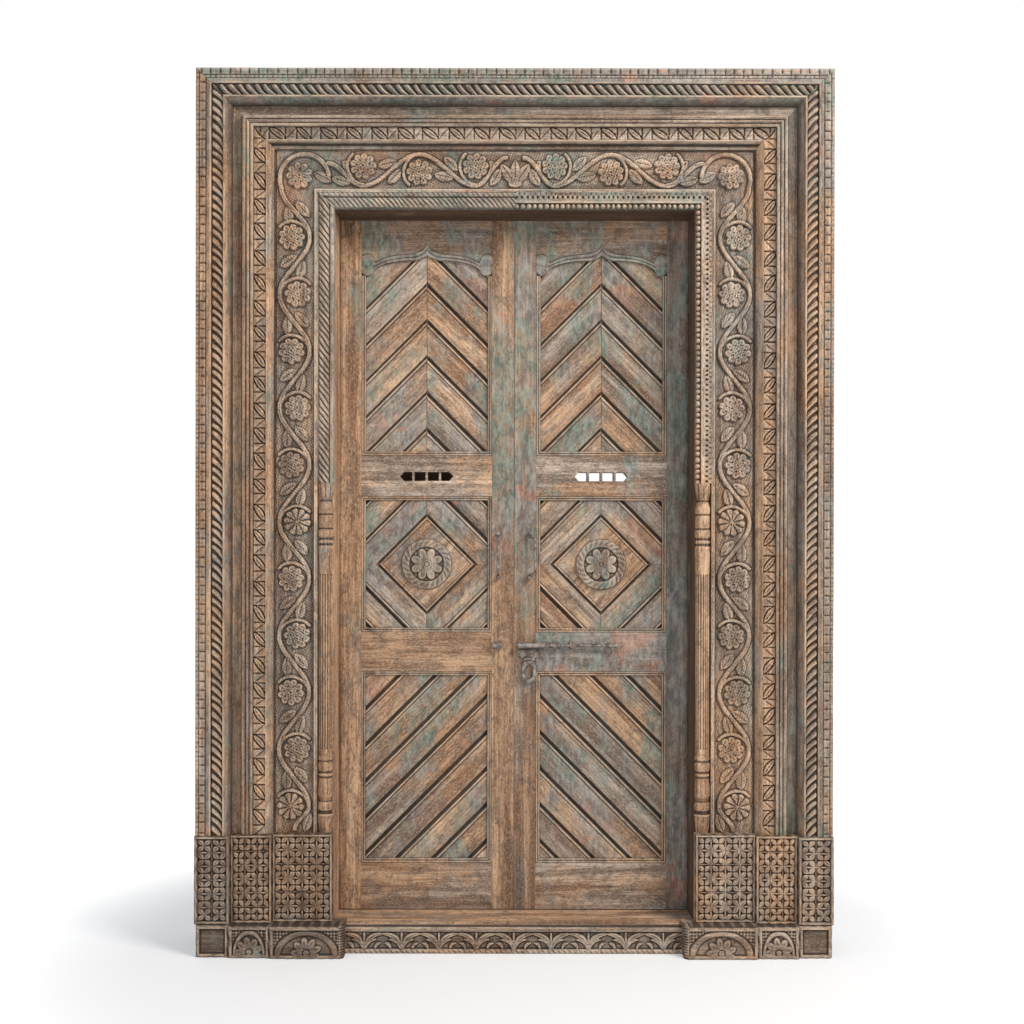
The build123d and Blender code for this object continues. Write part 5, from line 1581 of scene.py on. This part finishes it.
low, high = span("hasp_drop")
eye = [(hasp_x - eye_half, 2.8), (hasp_x - eye_half, 5.2), (hasp_x, 5.5)]
eye += [(hasp_x + eye_half, 5.2), (hasp_x + eye_half, 2.8)]
middle_z = (low.z + pin_z) / 2 - 0.3
loop_high = (pin_z - low.z) / 2 * 0.97
sections = [(1.0, -2.4), (1.0, 1.2), (0.94, 2.3), (0.72, 2.4), (0.55, 1.6), (0.53, -2.4)]
points = []
for share, height in sections:
    for step in range(link_steps):
        angle = 2 * math.pi * step / link_steps
        wide = (high.x - low.x) / 2 * share * math.copysign(abs(math.sin(angle)) ** 0.82, math.sin(angle))
        tall = loop_high * (1 - (1 - share) * 0.78) * math.cos(angle)
        points.append((hasp_x + wide, face_y - pin_front - height, middle_z + tall))
link = (points, ring_faces(len(sections), link_steps, closed=True))
forge("hasp_drop", [turned(eye, pin_axis, bored=True), link], "hasp", 0.35)

# Pulls: a bar of each leaf bent to a bow, swelled where the hand holds it, turning in two eyes that
# are driven through the stile.
axis_front = 9.0
eye_high = 9
eye_radius = 6.9
half_pull = 71.0
bow = [(0.0, 0.0, 3.4), (12.0, 0.0, 3.4), (15.5, 0.10, 3.8), (17.0, 0.45, 4.0), (18.5, 0.80, 4.0)]
bow += [(24.0, 0.98, 4.0), (36.0, 1.0, 4.3), (60.0, 1.0, 5.0), (half_pull, 1.0, 5.2)]
bow += [(2 * half_pull - up, out, thick) for up, out, thick in reversed(bow[:-1])]
for side in ("left", "right"):
    low, high = span(f"pull_{side}")
    eyes_low, eyes_high = span(f"pull_eyes_{side}")
    axis_x = (eyes_low.x + eyes_high.x) / 2
    grip_front = face_y - low.y - 4.0
    grip_x = axis_x if side == "left" else high.x - 5.0
    path, radii = [], []
    for place in np.arange(len(bow) * 3 - 2) / 3:
        up, out, thick = (float(np.interp(place, range(len(bow)), column)) for column in zip(*bow))
        forward = axis_front + (grip_front - axis_front) * out
        path.append((axis_x + (grip_x - axis_x) * out, forward, low.z + up))
        radii.append(min(thick, 4.45) if side == "left" else thick * 0.94)
    lean = Vector((grip_x - axis_x, grip_front - axis_front, 0)).normalized()
    forge(f"pull_{side}", [forged_bar(path, radii, (-lean.y, lean.x, 0))], f"{side}_pull", 0.3)
    parts = []
    for foot, head in ((eyes_low.z, eyes_low.z + eye_high), (eyes_high.z - eye_high, eyes_high.z)):
        eye = [(foot, 3.75), (foot, 6.0), (foot + 1.2, eye_radius)]
        eye += [(head - 1.2, eye_radius), (head, 6.0), (head, 3.75)]
        parts.append(turned(eye, (axis_x, axis_front, 0), upright=True, bored=True))
        parts.append(flat_plate(oblong(axis_x - 4, axis_x + 4, foot + 1, head - 1), 0.0, 4.4, 0.4))
    forge(f"pull_eyes_{side}", parts, f"{side}_leaf", 0.45)

# Floor and light: a plain pale floor that fades to white, a large soft lamp high on the right, a
# weaker one on the left, and an even sky.
floor_half = 30.0
floor_mesh = bpy.data.meshes.new("floor")
corners = [(x, z, 0) for x, z in oblong(-floor_half, floor_half, -floor_half, floor_half)]
floor_mesh.from_pydata(corners, [], [[0, 1, 2, 3]])
floor = bpy.data.objects.new("floor", floor_mesh)
bpy.context.scene.collection.objects.link(floor)


def seen_directly(tree):
    """1 for what the camera sees itself or in a mirror, 0 for the light on other things."""
    path = put(tree, "LightPath").outputs
    return reckon(tree, "MAXIMUM", path["Is Camera Ray"], path["Is Glossy Ray"])


paper, tree, diffuse = new_finish("pale_floor")
diffuse.inputs["Base Color"].default_value = colour(250, 250, 250)
diffuse.inputs["Roughness"].default_value = 0.9
glow = put(tree, "Emission", {"Color": (1, 1, 1, 1), "Strength": 1.3})
place = put(tree, "TexCoord").outputs["Object"]
distance = put(tree, "VectorMath", {0: place}, operation="LENGTH").outputs["Value"]
far = ramp(tree, distance, 1.0, 1.9, 0.2, 1.0)
share = reckon(tree, "MULTIPLY", far, seen_directly(tree))
mixed = put(tree, "MixShader", {0: share, 1: diffuse.outputs[0], 2: glow.outputs[0]})
tree.links.new(mixed.outputs[0], tree.nodes["Material Output"].inputs["Surface"])
floor_mesh.materials.append(paper)

world = bpy.data.worlds.new("studio")
bpy.context.scene.world = world
world.use_nodes = True
tree = world.node_tree
sky = tree.nodes["Background"]
sky.inputs["Color"].default_value = colour(236, 240, 246)
sky.inputs["Strength"].default_value = 0.55
white = put(tree, "Background", {"Color": (1, 1, 1, 1), "Strength": 1.0})
mixed = put(tree, "MixShader", {0: seen_directly(tree), 1: sky.outputs[0], 2: white.outputs[0]})
tree.links.new(mixed.outputs[0], tree.nodes["World Output"].inputs["Surface"])


def lamp(name, place, aim, size, power, tint):
    light = bpy.data.lights.new(name, "AREA")
    light.shape = "SQUARE"
    light.size = size
    light.energy = power
    light.color = tint
    holder = bpy.data.objects.new(name, light)
    holder.location = place
    holder.rotation_euler = (Vector(aim) - Vector(place)).to_track_quat("-Z", "Y").to_euler()
    bpy.context.scene.collection.objects.link(holder)


lamp("key_lamp", (2.6, -2.6, 3.9), (0, 0, 1.2), 1.6, 158, (1.0, 0.97, 0.94))
lamp("fill_lamp", (-3.0, -4.0, 2.2), (0, 0, 1.2), 3.0, 45, (0.94, 0.97, 1.0))

camera_distance = 3.80
camera_height = 1.130
camera_side = -0.04
camera_tilt = 90 - 0.142
camera_roll = -0.107
focal_length = 44.807
camera_data = bpy.data.cameras.new("camera")
camera_data.lens = focal_length
camera_data.sensor_width = 36.0
camera_data.shift_x = 0.0113
camera_data.shift_y = 0.0492
camera = bpy.data.objects.new("camera", camera_data)
camera.location = (camera_side, face_y * mm - camera_distance, camera_height)
camera.rotation_euler = (math.radians(camera_tilt), math.radians(camera_roll), 0)
bpy.context.scene.collection.objects.link(camera)
bpy.context.scene.camera = camera
bpy.context.scene.view_settings.view_transform = "Standard"
